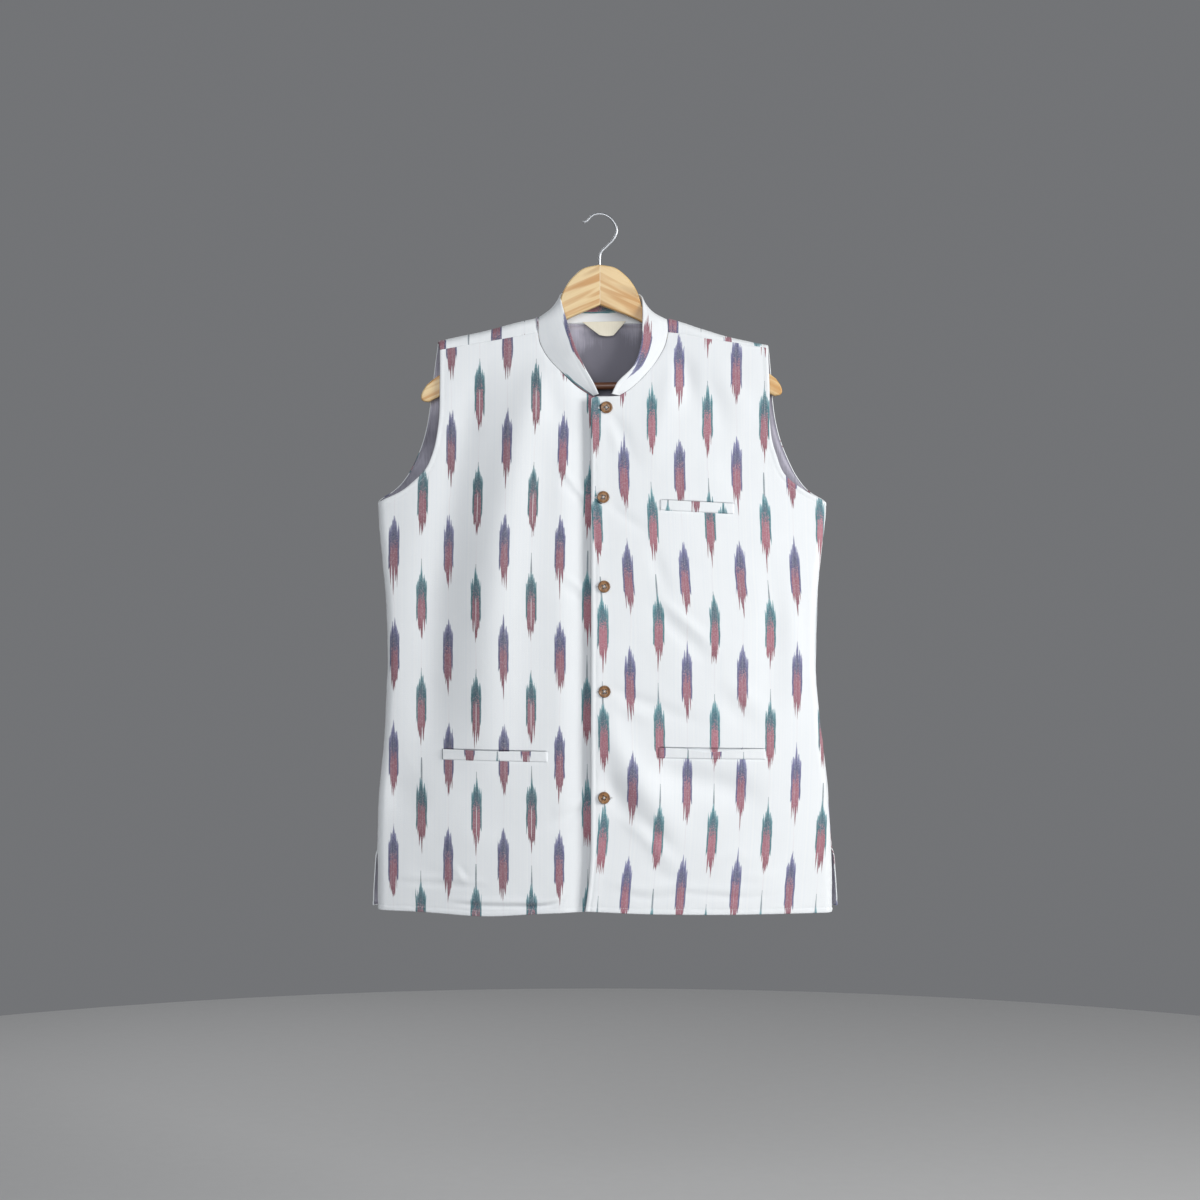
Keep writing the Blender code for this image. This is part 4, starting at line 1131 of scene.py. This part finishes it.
# Dark cloth for the tubes of painted shadow in the buttonhole slits and the gaps beside the
# buttons.
SHADE = plain_cloth("painted_buttonhole_shadow", rgb(58, 62, 70), rgb(34, 36, 42))
WOOD_RIGHT = wood("hanger_wood_right", rgb(229, 201, 148), rgb(196, 142, 72),
                  math.radians(26), True)
WOOD_LEFT = wood("hanger_wood_left", rgb(229, 199, 146), rgb(198, 146, 78), math.radians(-26), True)
WOOD_BAR = wood("hanger_wood_bar", rgb(138, 88, 60), rgb(104, 60, 38), 0.0)
STEEL = steel("steel_wire")
BUTTON = shell_button("coconut_shell")


# --- cloth pieces ------------------------------------------------------------------------

# How far the columns wander to the wearer's left: height, near the centre line, at the side
DRIFT_LEFT = [(-870, -5, -8), (-839, -2.7, -5.8), (-772, 3.2, -0.2), (-715, 5.6, 2.6),
              (-647, 5.0, 4.6), (-579, 2.9, 5.0), (-513, 3.1, 5.8), (-446, -0.8, 1.6),
              (-380, -3.5, -1.0), (-315, -6.2, -2.9), (-258, -6.0, -2.3), (-140, -6.0, -1.3)]
DRIFT_RIGHT = [(-870, 0.5, 0), (-450, 0.5, 0), (-380, 2.0, 1.0), (-310, 4.0, 2.0),
               (-230, 5.5, 2.5), (-140, 5.5, 2.5)]


def drift(table, p, z):
    near, far = smooth(table, z, 1), smooth(table, z, 2)
    return near + (far - near) * ease((np.abs(p) - 30) / 170)


def cloth_uv(name, places, points):
    """Where each point lies on the woven length, across and down, from a teal motif."""
    x0, v0 = TEAL_AT[name]
    p, z = places[..., 0], points[..., 2]
    if name == "back":
        middle = np.clip(p, -110, 110)
        across = p - middle * 0.07
        down = -smooth(CREST, p, 1) - places[..., 1] + 10 * ease((p + 60) / 160)
    else:
        across, down = p.copy(), -z
        if name == "front_left":
            across = p - drift(DRIFT_LEFT, p, z)
        if name == "front_right":
            across = p - drift(DRIFT_RIGHT, p, z)
    return np.stack([across - x0, down - v0], -1)


def cut_area(places):
    """Flat area of a panel in square metres."""
    a, b = places[1:, 1:] - places[:-1, :-1], places[1:, :-1] - places[:-1, 1:]
    return float(np.abs(a[..., 0] * b[..., 1] - a[..., 1] * b[..., 0]).sum() / 2 * MM * MM)


def add_panel(panel, flip, material, thickness, inner=0):
    points = panel.skin(panel.places)
    uv_name = panel.name if panel.name in TEAL_AT else "back"
    uv = cloth_uv(uv_name, panel.places, points)
    mesh = grid_mesh(panel.name, points, flip, uv)
    obj = new_object(f"{panel.name}_cloth", mesh, material)
    wall(obj, thickness, inner)
    return obj


front_right, front_left, back, lining = (
    make_front("right"), make_front("left"), make_back(), make_lining())

right_cloth = add_panel(front_right, True, [CLOTH, LINING], WALL, 1)
left_cloth = add_panel(front_left, False, [CLOTH, LINING], WALL, 1)
back_cloth = add_panel(back, True, [CLOTH, LINING], WALL, 1)
lining_cloth = add_panel(lining, True, [LINING], 0.8)
for obj, panel, rest in (
    (right_cloth, front_right, "hanger_arm_right"), (left_cloth, front_left, "hanger_arm_left"),
    (back_cloth, back, "hanger_arm_right"), (lining_cloth, lining, "hanger_arm_right"),
):
    ride(obj, "lining_cloth" if panel is lining else "shell_cloth", panel.name)
    low, high = panel.places.reshape(-1, 2).min(0), panel.places.reshape(-1, 2).max(0)
    width, length = (high - low) * MM
    min(cut_area(panel.places), width * length)


def grid_normals(points):
    across, up = np.gradient(points, axis=1), np.gradient(points, axis=0)
    normal = np.cross(across, up)
    return normal / (np.linalg.norm(normal, axis=-1, keepdims=True) + 1e-12)


def welded(name, meshes):
    """Several meshes as one, with the points they share made one."""
    shape = bmesh.new()
    for mesh in meshes:
        shape.from_mesh(mesh)
    bmesh.ops.remove_doubles(shape, verts=shape.verts, dist=0.000004)
    out = bpy.data.meshes.new(name)
    shape.to_mesh(out)
    shape.free()
    out.shade_smooth()
    for mesh in meshes:
        bpy.data.meshes.remove(mesh)
    return out


def two_faced(name, middle, normal, half, uv, inner_uv=None, flip=False):
    """A closed wall of this half thickness each side of a middle surface."""
    lift = normal * half[..., None]
    outer = grid_mesh(f"{name}_outer", middle + lift, flip, uv)
    inner = grid_mesh(f"{name}_inner", middle - lift, not flip,
                      uv if inner_uv is None else inner_uv)
    return welded(name, [outer, inner])


def rim(shape, across, up, radius, sides=(True, True, True, True)):
    """Share of the full wall near the rim of a grid: start, end, foot and top."""
    share = np.ones(shape)
    start, end, foot, top = sides
    for wanted, d in ((start, across), (end, across.max() - across), (foot, up),
                      (top, up.max(axis=0, keepdims=True) - up)):
        if wanted:
            share = share * np.sqrt(np.clip(1 - np.clip(1 - d / radius, 0, 1) ** 2, 0, 1))
    return share


def near_rims(total, count, steps=(0.1, 0.3, 0.6, 1.0, 1.5, 2.2)):
    """Distances from 0 to total, close together at both ends."""
    steps = np.array(steps)
    middle = np.linspace(steps[-1], total - steps[-1], count)
    return np.concatenate([[0], steps[:-1], middle, total - steps[:-1][::-1], [total]])


# --- collar ------------------------------------------------------------------------------

def collar_lines():
    """The neck seam and the collar's top edge, both from the right front end round."""
    right, left = on_front(spline(NECK_RIGHT)), on_front(spline(NECK_LEFT))
    even = np.linspace(0, 1, 90)
    parts = [
        body_points(spaced(right, even), underlap=True),
        body_points(np.linspace(on_front([SEAM_RIGHT[0]])[0], on_back([BACK_NECK[0]])[0], 30)),
        body_points(spaced(on_back(spline(BACK_NECK)), np.linspace(0, 1, 120))),
        body_points(np.linspace(on_back([BACK_NECK[-1]])[0], on_front([SEAM_LEFT[0]])[0], 30)),
        body_points(spaced(left, even))[::-1],
    ]
    base = np.vstack([*(part[:-1] for part in parts[:-1]), parts[-1]])
    along = lengths(base)
    top = spaced(spline(COLLAR_TOP), along / along[-1])
    want = near_rims(along[-1], 300)
    pair = []
    for line in (base, top):
        smoothed = line.copy()
        for k in range(24):
            smoothed[1:-1] = (smoothed[:-2] + 2 * smoothed[1:-1] + smoothed[2:]) / 4
        pair.append(np.stack([np.interp(want, along, smoothed[:, k]) for k in range(3)], 1))
    return want, pair[0], pair[1]


def add_collar():
    along, base, top = collar_lines()
    shares = near_rims(40.0, 26)[:, None, None] / 40.0
    surface = base + (top - base) * shares
    rise = np.linalg.norm(top - base, axis=1)
    up = np.broadcast_to(shares[..., 0] * rise, surface.shape[:2])
    across = np.broadcast_to(along, up.shape)
    normal = -grid_normals(surface)
    wavy = 0.55 * noise(across, up, 34, 21) + 0.22 * noise(across, up, 13, 22)
    wavy = wavy + 0.12 * noise(across, up, 5, 23) * np.exp(-(((rise - up) / 5) ** 2))
    fold = -0.18 * np.exp(-((((rise - up) - 5.5) / 1.1) ** 2))
    swell = 0.5 * np.sin(np.clip(up / rise, 0, 1) * math.pi)
    middle = surface + normal * (wavy + fold + swell - COLLAR_WALL / 2)[..., None]
    half = COLLAR_WALL / 2 * rim(up.shape, across, up, 1.3)
    total = along[-1]
    u0, v0 = TEAL_AT["collar"]
    around = total - across
    on_left = ease((across / total - 0.45) / 0.1)
    by_seam = up + 2.6 + 5.4 * on_left
    by_top = PITCH - 1.6 + 8.6 * on_left - (rise - up)
    u = by_seam + (by_top - by_seam) * ease((up / rise - 0.22) / 0.52)
    v = around + 12.0 - 14.0 * on_left - 30.0 * ease((around - 110.0) / 190.0)
    uv = np.stack([u - u0, v - v0], -1)
    inner_uv = np.stack([up - 20.0, total - across - 221.0], -1)
    mesh = two_faced("collar", middle, normal, half, uv, inner_uv, flip=True)
    collar = ride(new_object("collar_cloth", mesh, [CLOTH]), "shell_cloth", "collar")


# --- pocket welts ------------------------------------------------------------------------

def add_welt(name, panel, sag, gape):
    """A folded strip, sewn down along its foot and its ends; its top edge sags and gapes."""
    _, start, end, _, _ = WELTS[name]
    across = near_rims(end - start, 130)[None, :]
    up = near_rims(WELT_HEIGHT, 14)[:, None]
    across, up = np.broadcast_arrays(across, up)
    x = start + across
    share = across / (end - start)
    belly = np.sin(np.clip(share, 0, 1) * math.pi)
    droop = sag * np.exp(-(((share - 0.48) / 0.22) ** 2)) * (up / WELT_HEIGHT) ** 1.3
    z = mouth_height(name, x) - WELT_HEIGHT + up - droop
    places = place_of(x, z)
    free = ease(up / 3.0)
    ends = ease(across / 4.0) * ease((end - start - across) / 4.0)
    sewn = ease(up / 1.6) * ease(across / 1.2) * ease((end - start - across) / 1.2)
    lift = -0.95 + 1.7 * sewn + (0.35 + gape * belly) * free * ends * (up / WELT_HEIGHT)
    lift = lift + 0.16 * noise(x, z, 9, 31) + 0.1 * noise(x, z, 4, 32) * (1 - free * 0.6)
    base, normal = panel.form(places)
    middle = base + normal * (panel.relief(places, marks=False) + lift)[..., None]
    half = WELT_THICK / 2 * rim(x.shape, across, up, 0.9)
    uv = cloth_uv(name, places, middle)
    mesh = two_faced(name, middle, normal, half, uv)
    welt = ride(new_object(f"{name}_cloth", mesh, [CLOTH]), "shell_cloth", name)


# --- stitching ---------------------------------------------------------------------------

def inset_line(line, inward, side):
    """A line of places moved to its left (side 1) or right (side -1), thinned to 1 mm."""
    count = max(int(lengths(line)[-1]), 3)
    line = spaced(line, np.linspace(0, 1, count))
    step = np.gradient(line, axis=0)
    step /= np.linalg.norm(step, axis=1)[:, None]
    moved = line + inward * side * np.stack([-step[:, 1], step[:, 0]], 1)
    keep = np.ones(len(moved), bool)
    keep[1:] = np.einsum("ij,ij->i", np.diff(moved, axis=0), step[1:]) > 0
    return moved[keep]


def stitches(panel, line, seed, pitch=2.7, share=0.72, radius=0.16, start=3.0, end=3.0):
    """Short threads laid along a line of places, each dipping into the cloth at its ends."""
    random = np.random.default_rng(seed)
    total = lengths(line)[-1]
    count = int((total - start - end) / pitch)
    first = start + pitch * np.arange(count) + random.normal(0, 0.08, count)
    steps = np.linspace(0, 1, 5)
    at = first[:, None] + steps[None, :] * pitch * share
    places = spaced(line, at.reshape(-1) / total)
    dip = np.tile(np.array([-0.30, 0.10, 0.17, 0.10, -0.30]), count)
    points = panel.skin(places, dip).reshape(count, 5, 3)
    sizes = radius * np.array([0.75, 1.0, 1.05, 1.0, 0.75])
    return list(points), [sizes] * count


def add_stitching(name, groups, *nodes):
    lines, radii = [], []
    for some, sizes in groups:
        lines += some
        radii += sizes
    mesh = tube_mesh(name, lines, radii, 6)
    return ride(new_object(name, mesh, [THREAD]), "shell_cloth")


def add_topstitching():
    groups = []
    for panel, side in ((front_right, 1), (front_left, -1)):
        lines = panel.lines
        groups += [
            stitches(panel, inset_line(lines["armhole"], STITCH_IN, side), 1, start=5),
            stitches(panel, inset_line(lines["slit"], 5.0, side), 2, start=7),
            stitches(panel, inset_line(lines["hem"], 6.5, side), 3, start=8, end=6),
        ]
    groups.append(stitches(front_left, inset_line(front_left.lines["free"], STITCH_IN, 1), 4,
                           share=0.55, radius=0.1, start=7, end=2))
    add_stitching("front_stitching", groups)
    lines = back.lines
    groups = [
        stitches(back, inset_line(lines["armhole_right"], STITCH_IN, -1), 5, end=8),
        stitches(back, inset_line(lines["armhole_left"], STITCH_IN, 1), 6, end=8),
        stitches(back, inset_line(lines["slit_right"], 5.0, -1), 7, start=7),
        stitches(back, inset_line(lines["slit_left"], 5.0, 1), 8, start=7),
        stitches(back, inset_line(lines["hem"], 6.5, 1), 9, start=8, end=8),
    ]
    add_stitching("back_stitching", groups)


def add_welt_stitches():
    """Bars of close stitches that hold both ends of each welt."""
    random = np.random.default_rng(12)
    lines, bars = [], {}
    for name, (side, start, end, _, _) in WELTS.items():
        for x in (start + 1.3, end - 1.3):
            top = float(mouth_height(name, np.array(x)))
            for k in range(5):
                z = top - 1.2 - 2.5 * k
                length = 1.9
                places = place_of(np.full(5, x) + random.normal(0, 0.05),
                                  z - np.linspace(0, length, 5))
                dip = np.array([0.5, 1.02, 1.12, 1.02, 0.5])
                bars.setdefault(side, []).append((places, dip))
    for side, some in bars.items():
        panel = front_right if side == "front_right" else front_left
        places, dips = np.array([bar[0] for bar in some]), np.array([bar[1] for bar in some])
        lines += list(panel.skin(places, dips, marks=False))
    radii = [np.array([0.2, 0.25, 0.26, 0.25, 0.2])] * len(lines)
    mesh = tube_mesh("welt_stitching", lines, radii, 6)
    ride(new_object("welt_stitching", mesh, [THREAD]), "shell_cloth")


# --- buttons -----------------------------------------------------------------------------

def button_mesh():
    """A turned disc with a rounded rim, a dished face with a raised ring, and four holes."""
    r, t = BUTTON_RADIUS, BUTTON_THICK
    profile = [
        (0.0, 0.0), (r - 1.6, 0.0), (r - 0.7, 0.25), (r - 0.15, 0.8), (r, 1.25), (r - 0.1, 1.75),
        (r - 0.45, t - 0.18), (r - 0.95, t), (r - 1.5, t - 0.06), (r - 1.95, t - 0.42),
        (r - 2.3, t - 0.72), (r - 2.9, t - 0.82), (r - 4.4, t - 0.84), (0.0, t - 0.86),
    ]
    shape = bmesh.new()
    verts = [shape.verts.new((a * MM, 0, h * MM)) for a, h in reversed(profile)]
    for a, b in zip(verts, verts[1:]):
        shape.edges.new((a, b))
    outline = bpy.data.meshes.new("button_outline")
    shape.to_mesh(outline)
    shape.free()
    disc = bpy.data.objects.new("button_disc", outline)
    bpy.context.scene.collection.objects.link(disc)
    turned = disc.modifiers.new("turned", "SCREW")
    turned.steps = turned.render_steps = 64
    turned.use_merge_vertices = True
    turned.merge_threshold = 0.00001
    drill = bmesh.new()
    for k in range(4):
        angle = math.pi / 4 + k * math.pi / 2
        made = bmesh.ops.create_cone(
            drill, cap_ends=True, segments=20, depth=5 * t * MM, radius1=HOLE_RADIUS * MM,
            radius2=HOLE_RADIUS * MM)
        shift = Vector((HOLE_AT * math.cos(angle), HOLE_AT * math.sin(angle), 2.5 * t + 0.35)) * MM
        bmesh.ops.translate(drill, verts=made["verts"], vec=shift)
    drill_mesh = bpy.data.meshes.new("thread_holes")
    drill.to_mesh(drill_mesh)
    drill.free()
    drills = bpy.data.objects.new("thread_holes", drill_mesh)
    bpy.context.scene.collection.objects.link(drills)
    cut = disc.modifiers.new("thread_holes", "BOOLEAN")
    cut.object = drills
    bpy.context.view_layer.update()
    graph = bpy.context.evaluated_depsgraph_get()
    mesh = bpy.data.meshes.new_from_object(disc.evaluated_get(graph))
    mesh.name = "button"
    mesh.materials.clear()
    mesh.materials.append(BUTTON)
    mesh.shade_smooth()
    mesh.set_sharp_from_angle(angle=math.radians(40))
    bpy.data.objects.remove(disc)
    bpy.data.objects.remove(drills)
    return mesh


def turned_to(point, out, across, spin, tilt):
    """Matrix with Z outward, turned in its plane and tipped a little."""
    up = out.cross(across)
    frame_of = Matrix((across, up, out)).transposed().to_4x4()
    return (Matrix.Translation(point * MM) @ frame_of
            @ Matrix.Rotation(math.radians(tilt[0]), 4, "X")
            @ Matrix.Rotation(math.radians(tilt[1]), 4, "Y")
            @ Matrix.Rotation(math.radians(spin), 4, "Z"))


def add_buttons(panel):
    mesh = button_mesh()
    spins = (38, -8, 17, 5, -22)
    tilts = ((3, -4), (-2, 3), (2, 2), (3, -3), (-3, 4))
    threads, sizes = [], []
    for number, ((x, z), spin, tilt) in enumerate(zip(BUTTONS, spins, tilts), 1):
        point, out, across, _ = panel.spot(x, z, BUTTON_LIFT)
        place = turned_to(point, out, across, spin, tilt)
        button = new_object(f"button_{number}_shell", mesh, [])
        button.matrix_world = place
        ride(button, "buttons", f"button_{number}")
        t = BUTTON_THICK
        for a in (45, 135):
            for shift in (-0.26, 0.26):
                c, s = math.cos(math.radians(a)), math.sin(math.radians(a))
                run = [(-1.8, 0.6), (-1.7, t - 1.3), (-1.3, t - 0.66), (-0.6, t - 0.42),
                       (0.6, t - 0.42), (1.3, t - 0.66), (1.7, t - 1.3), (1.8, 0.6)]
                line = spline([(r * c - shift * s, r * s + shift * c, h + (0.2 if a > 90 else 0))
                               for r, h in run], 4)
                threads.append([(place @ Vector(c3 * MM)) / MM for c3 in line])
                sizes.append(0.19)
    mesh = tube_mesh("button_thread", threads, sizes, 8)
    ride(new_object("button_thread", mesh, [THREAD]), "buttons")


def add_buttonholes(panel):
    """Horizontal buttonholes: a slit in a satin of close thread, most of it under its button. The
    slits and the gaps beside the buttons are dark tubes of painted shadow.
    """
    random = np.random.default_rng(5)
    threads, slits = [], []
    for number, (x, z) in enumerate(BUTTONS):
        left, right = (x - 10.2, x + 9.0) if number < 4 else (x - 6.5, x + 11.5)
        z -= 0.3
        half = 1.15
        for at in np.arange(left + half, right - half, 0.42):
            for sign in (-1, 1):
                reach = np.array([0.18, 0.5, 0.9, 1.25]) * (1 + random.normal(0, 0.04))
                threads.append(place_of(np.full(4, at), z + sign * reach))
        for centre, turn in ((left + half, math.pi / 2), (right - half, -math.pi / 2)):
            for k in range(9):
                a = turn + (k + 0.5) / 9 * math.pi
                ring = np.array([0.2, 0.55, 0.95, 1.3])
                threads.append(place_of(centre + ring * math.cos(a), z + ring * math.sin(a)))
        slits.append(place_of(np.linspace(left + half - 0.4, right - half + 0.4, 24),
                              np.full(24, z)))
    gaps, sizes = [], []
    for number, first, last, radius, wide in GAPS:
        x, z = BUTTONS[number - 1]
        turn = np.radians(np.linspace(first, last, 24))
        gaps.append(place_of(x + radius * np.cos(turn), z + radius * np.sin(turn)))
        sizes.append(np.clip(wide * np.sin(np.linspace(0, math.pi, 24)) ** 0.7, 0.06, None))
    lines = panel.skin(np.array(threads), np.array([-0.1, 0.3, 0.32, -0.15]))
    mesh = tube_mesh("buttonhole_thread", lines, [0.24] * len(lines), 6)
    ride(new_object("buttonhole_thread", mesh, [THREAD]), "shell_cloth")
    slits = [*panel.skin(np.array(slits), 0.06), *panel.skin(np.array(gaps), -0.1)]
    sizes = [0.16] * (len(slits) - len(gaps)) + sizes
    mesh = tube_mesh("buttonhole_shadow_tubes", slits, sizes, 8)
    ride(new_object("buttonhole_shadow_tubes", mesh, [SHADE]), "shell_cloth")


# --- label -------------------------------------------------------------------------------

def add_label():
    """A blank tape tab that hangs from the back neck seam inside."""
    corners = np.array(LABEL)
    s = near_rims(40.0, 30)[None, :, None] / 40.0
    t = near_rims(16.0, 12)[:, None, None] / 16.0
    top, foot = (1 - s) * corners[3] + s * corners[2], (1 - s) * corners[0] + s * corners[1]
    flat = top * (1 - t) + foot * t
    bow = 1.2 * np.sin(s[..., 0] * math.pi) * (1 - t[..., 0])
    x, z = flat[..., 0], flat[..., 1] - bow
    places = place_of(x, z, back=True)
    points = body_points(places, inward=WALL + LINING_GAP + 2.2)
    off = 1.0 + 4.2 * (1 - t[..., 0]) ** 1.4 + 0.7 * np.sin(s[..., 0] * 5.0) * (1 - t[..., 0])
    middle = points - np.array([0.0, 1.0, 0.0]) * off[..., None]
    normal = np.broadcast_to(np.array([0.0, -1.0, 0.0]), middle.shape)
    across = np.broadcast_to(s[..., 0] * 40, x.shape)
    up = np.broadcast_to(t[..., 0] * 16, x.shape)
    half = 0.35 * rim(x.shape, across, up, 0.5)
    mesh = two_faced("label", middle, normal, half, np.stack([x, -z], -1))
    label = ride(new_object("label_tape", mesh, [LABEL_TAPE]), "label_cloth", "label")


# --- hanger ------------------------------------------------------------------------------

def curve_mesh(name, curve):
    """A curve's solid as a mesh with its caps welded."""
    holder = bpy.data.objects.new(name, curve)
    bpy.context.scene.collection.objects.link(holder)
    bpy.context.view_layer.update()
    graph = bpy.context.evaluated_depsgraph_get()
    mesh = bpy.data.meshes.new_from_object(holder.evaluated_get(graph))
    shape = bmesh.new()
    shape.from_mesh(mesh)
    bmesh.ops.remove_doubles(shape, verts=shape.verts, dist=0.00001)
    bmesh.ops.recalc_face_normals(shape, faces=shape.faces)
    shape.to_mesh(mesh)
    shape.free()
    mesh.name = name
    mesh.materials.clear()
    bpy.data.objects.remove(holder)
    return mesh


def poly_curve(name, points, cyclic, dimensions):
    curve = bpy.data.curves.new(name, "CURVE")
    curve.dimensions = dimensions
    line = curve.splines.new("POLY")
    line.points.add(len(points) - 1)
    for target, point in zip(line.points, points):
        target.co = (*(Vector(point) * MM), 1)
    line.use_cyclic_u = cyclic
    return curve


def add_hanger():
    """Two halves of shaped wood glued on the centre line, a bar between them, a wire hook."""
    x, z = HANGER_PIVOT
    sine, cosine = math.sin(HANGER_TILT), math.cos(HANGER_TILT)
    shift = Vector((x - x * cosine + z * sine, 0, z - z * cosine - x * sine)) * MM
    tilt = Matrix.Translation(shift) @ Matrix.Rotation(-HANGER_TILT, 4, "Y")
    upper = spline(WOOD_UPPER, 16)
    upper[0] = (0.0, -64.0 - WOOD_EDGE)
    tip = spline([WOOD_UPPER[-1], *WOOD_TIP], 8)[1:]
    lower = spline(WOOD_LOWER, 8)
    lower[-1] = (0.0, -110.0)
    outline = np.vstack([upper, tip, lower[1:]])
    for name, sign, finish in (("hanger_arm_right", -1, WOOD_RIGHT),
                               ("hanger_arm_left", 1, WOOD_LEFT)):
        curve = poly_curve(name, [(sign * x, z, 0) for x, z in outline], True, "2D")
        curve.fill_mode = "BOTH"
        curve.extrude = (WOOD_THICK / 2 - WOOD_EDGE) * MM
        curve.bevel_depth = WOOD_EDGE * MM
        curve.bevel_resolution = 5
        mesh = curve_mesh(f"{name}_wood", curve)
        mesh.transform(tilt @ Matrix.Rotation(math.radians(90), 4, "X"))
        mesh.shade_smooth()
        mesh.set_sharp_from_angle(angle=math.radians(50))
        ride(new_object(f"{name}_wood", mesh, [finish]), "pale_wood", name)
    line = np.array([(x, 0, BAR_HEIGHT) for x in np.linspace(-BAR_HALF, BAR_HALF, 40)])
    mesh = tube_mesh("hanger_bar_wood", [line], [BAR_RADIUS], 48)
    mesh.transform(tilt)
    ride(new_object("hanger_bar_wood", mesh, [WOOD_BAR]), "bar_wood", "hanger_bar")
    route = spline([(x, 0, z) for x, z in HOOK_ROUTE], 10)
    route = spaced(route, np.linspace(0, 1, 130))
    route = np.vstack([route, [route[-1] + (0, 0, -4.0)]])
    radii = np.full(len(route), HOOK_WIRE)
    along = lengths(route)
    radii *= np.sqrt(np.clip(1 - np.clip(1 - along / HOOK_WIRE, 0, 0.97) ** 2, 0, 1))
    mesh = tube_mesh("hook_wire", [route], [radii], 28)
    ride(new_object("hook_wire", mesh, [STEEL]), "steel_wire", "hanger_hook")


add_collar()
add_welt("welt_chest", front_left, 0.0, 0.2)
add_welt("welt_hip_right", front_right, 1.0, 0.5)
add_welt("welt_hip_left", front_left, 4.6, 1.4)
add_topstitching()
add_welt_stitches()
add_buttons(front_left)
add_buttonholes(front_left)
add_label()
add_hanger()


# --- camera, light and floor -------------------------------------------------------------

def aimed(name, data, place, target):
    obj = bpy.data.objects.new(name, data)
    bpy.context.scene.collection.objects.link(obj)
    obj.location = place
    obj.rotation_euler = (Vector(target) - Vector(place)).to_track_quat("-Z", "Y").to_euler()
    return obj


def add_light(name, place, target, size, power, colour):
    data = bpy.data.lights.new(name, "AREA")
    data.shape = "RECTANGLE"
    data.size, data.size_y = size
    data.energy = power
    data.color = colour
    return aimed(name, data, place, target)


def add_studio():
    scene = bpy.context.scene
    camera = bpy.data.cameras.new("camera")
    camera.lens = 72.6
    camera.clip_end = 50.0
    scene.camera = aimed("camera", camera, (0, -3.02, -0.480), (0, 0, -0.480))
    add_light("key", (2.0, -1.2, 0.1), (0, 0, -0.5), (0.9, 1.1), 41, (1.0, 0.99, 0.97))
    add_light("fill", (-0.3, -3.4, 0.4), (0, 0, -0.5), (2.4, 2.0), 51, (0.95, 0.975, 1.0))
    add_light("rim", (-0.8, 1.9, 0.9), (0, 0, -0.4), (1.4, 1.4), 14, (1.0, 1.0, 1.0))
    world = bpy.data.worlds.new("studio")
    world.use_nodes = True
    world.node_tree.nodes["Background"].inputs[0].default_value = (0.17, 0.174, 0.182, 1)
    scene.world = world
    scene.view_settings.view_transform = "Standard"
    g = Graph("floor")
    grain = g.noise(g.place(), 40.0, 4.0)
    g.finish(Base_Color=g.mix(grain, (0.60, 0.60, 0.60, 1), (0.63, 0.63, 0.63, 1)),
             Roughness=0.8, Normal=g.bump(grain, 0.5, 0.2))
    mesh = bpy.data.meshes.new("floor")
    shape = bmesh.new()
    bmesh.ops.create_circle(shape, cap_ends=True, segments=96, radius=2.4)
    shape.to_mesh(mesh)
    shape.free()
    floor = new_object("floor", mesh, [g.material])
    floor.location = (0, 0, -1.35)


add_studio()
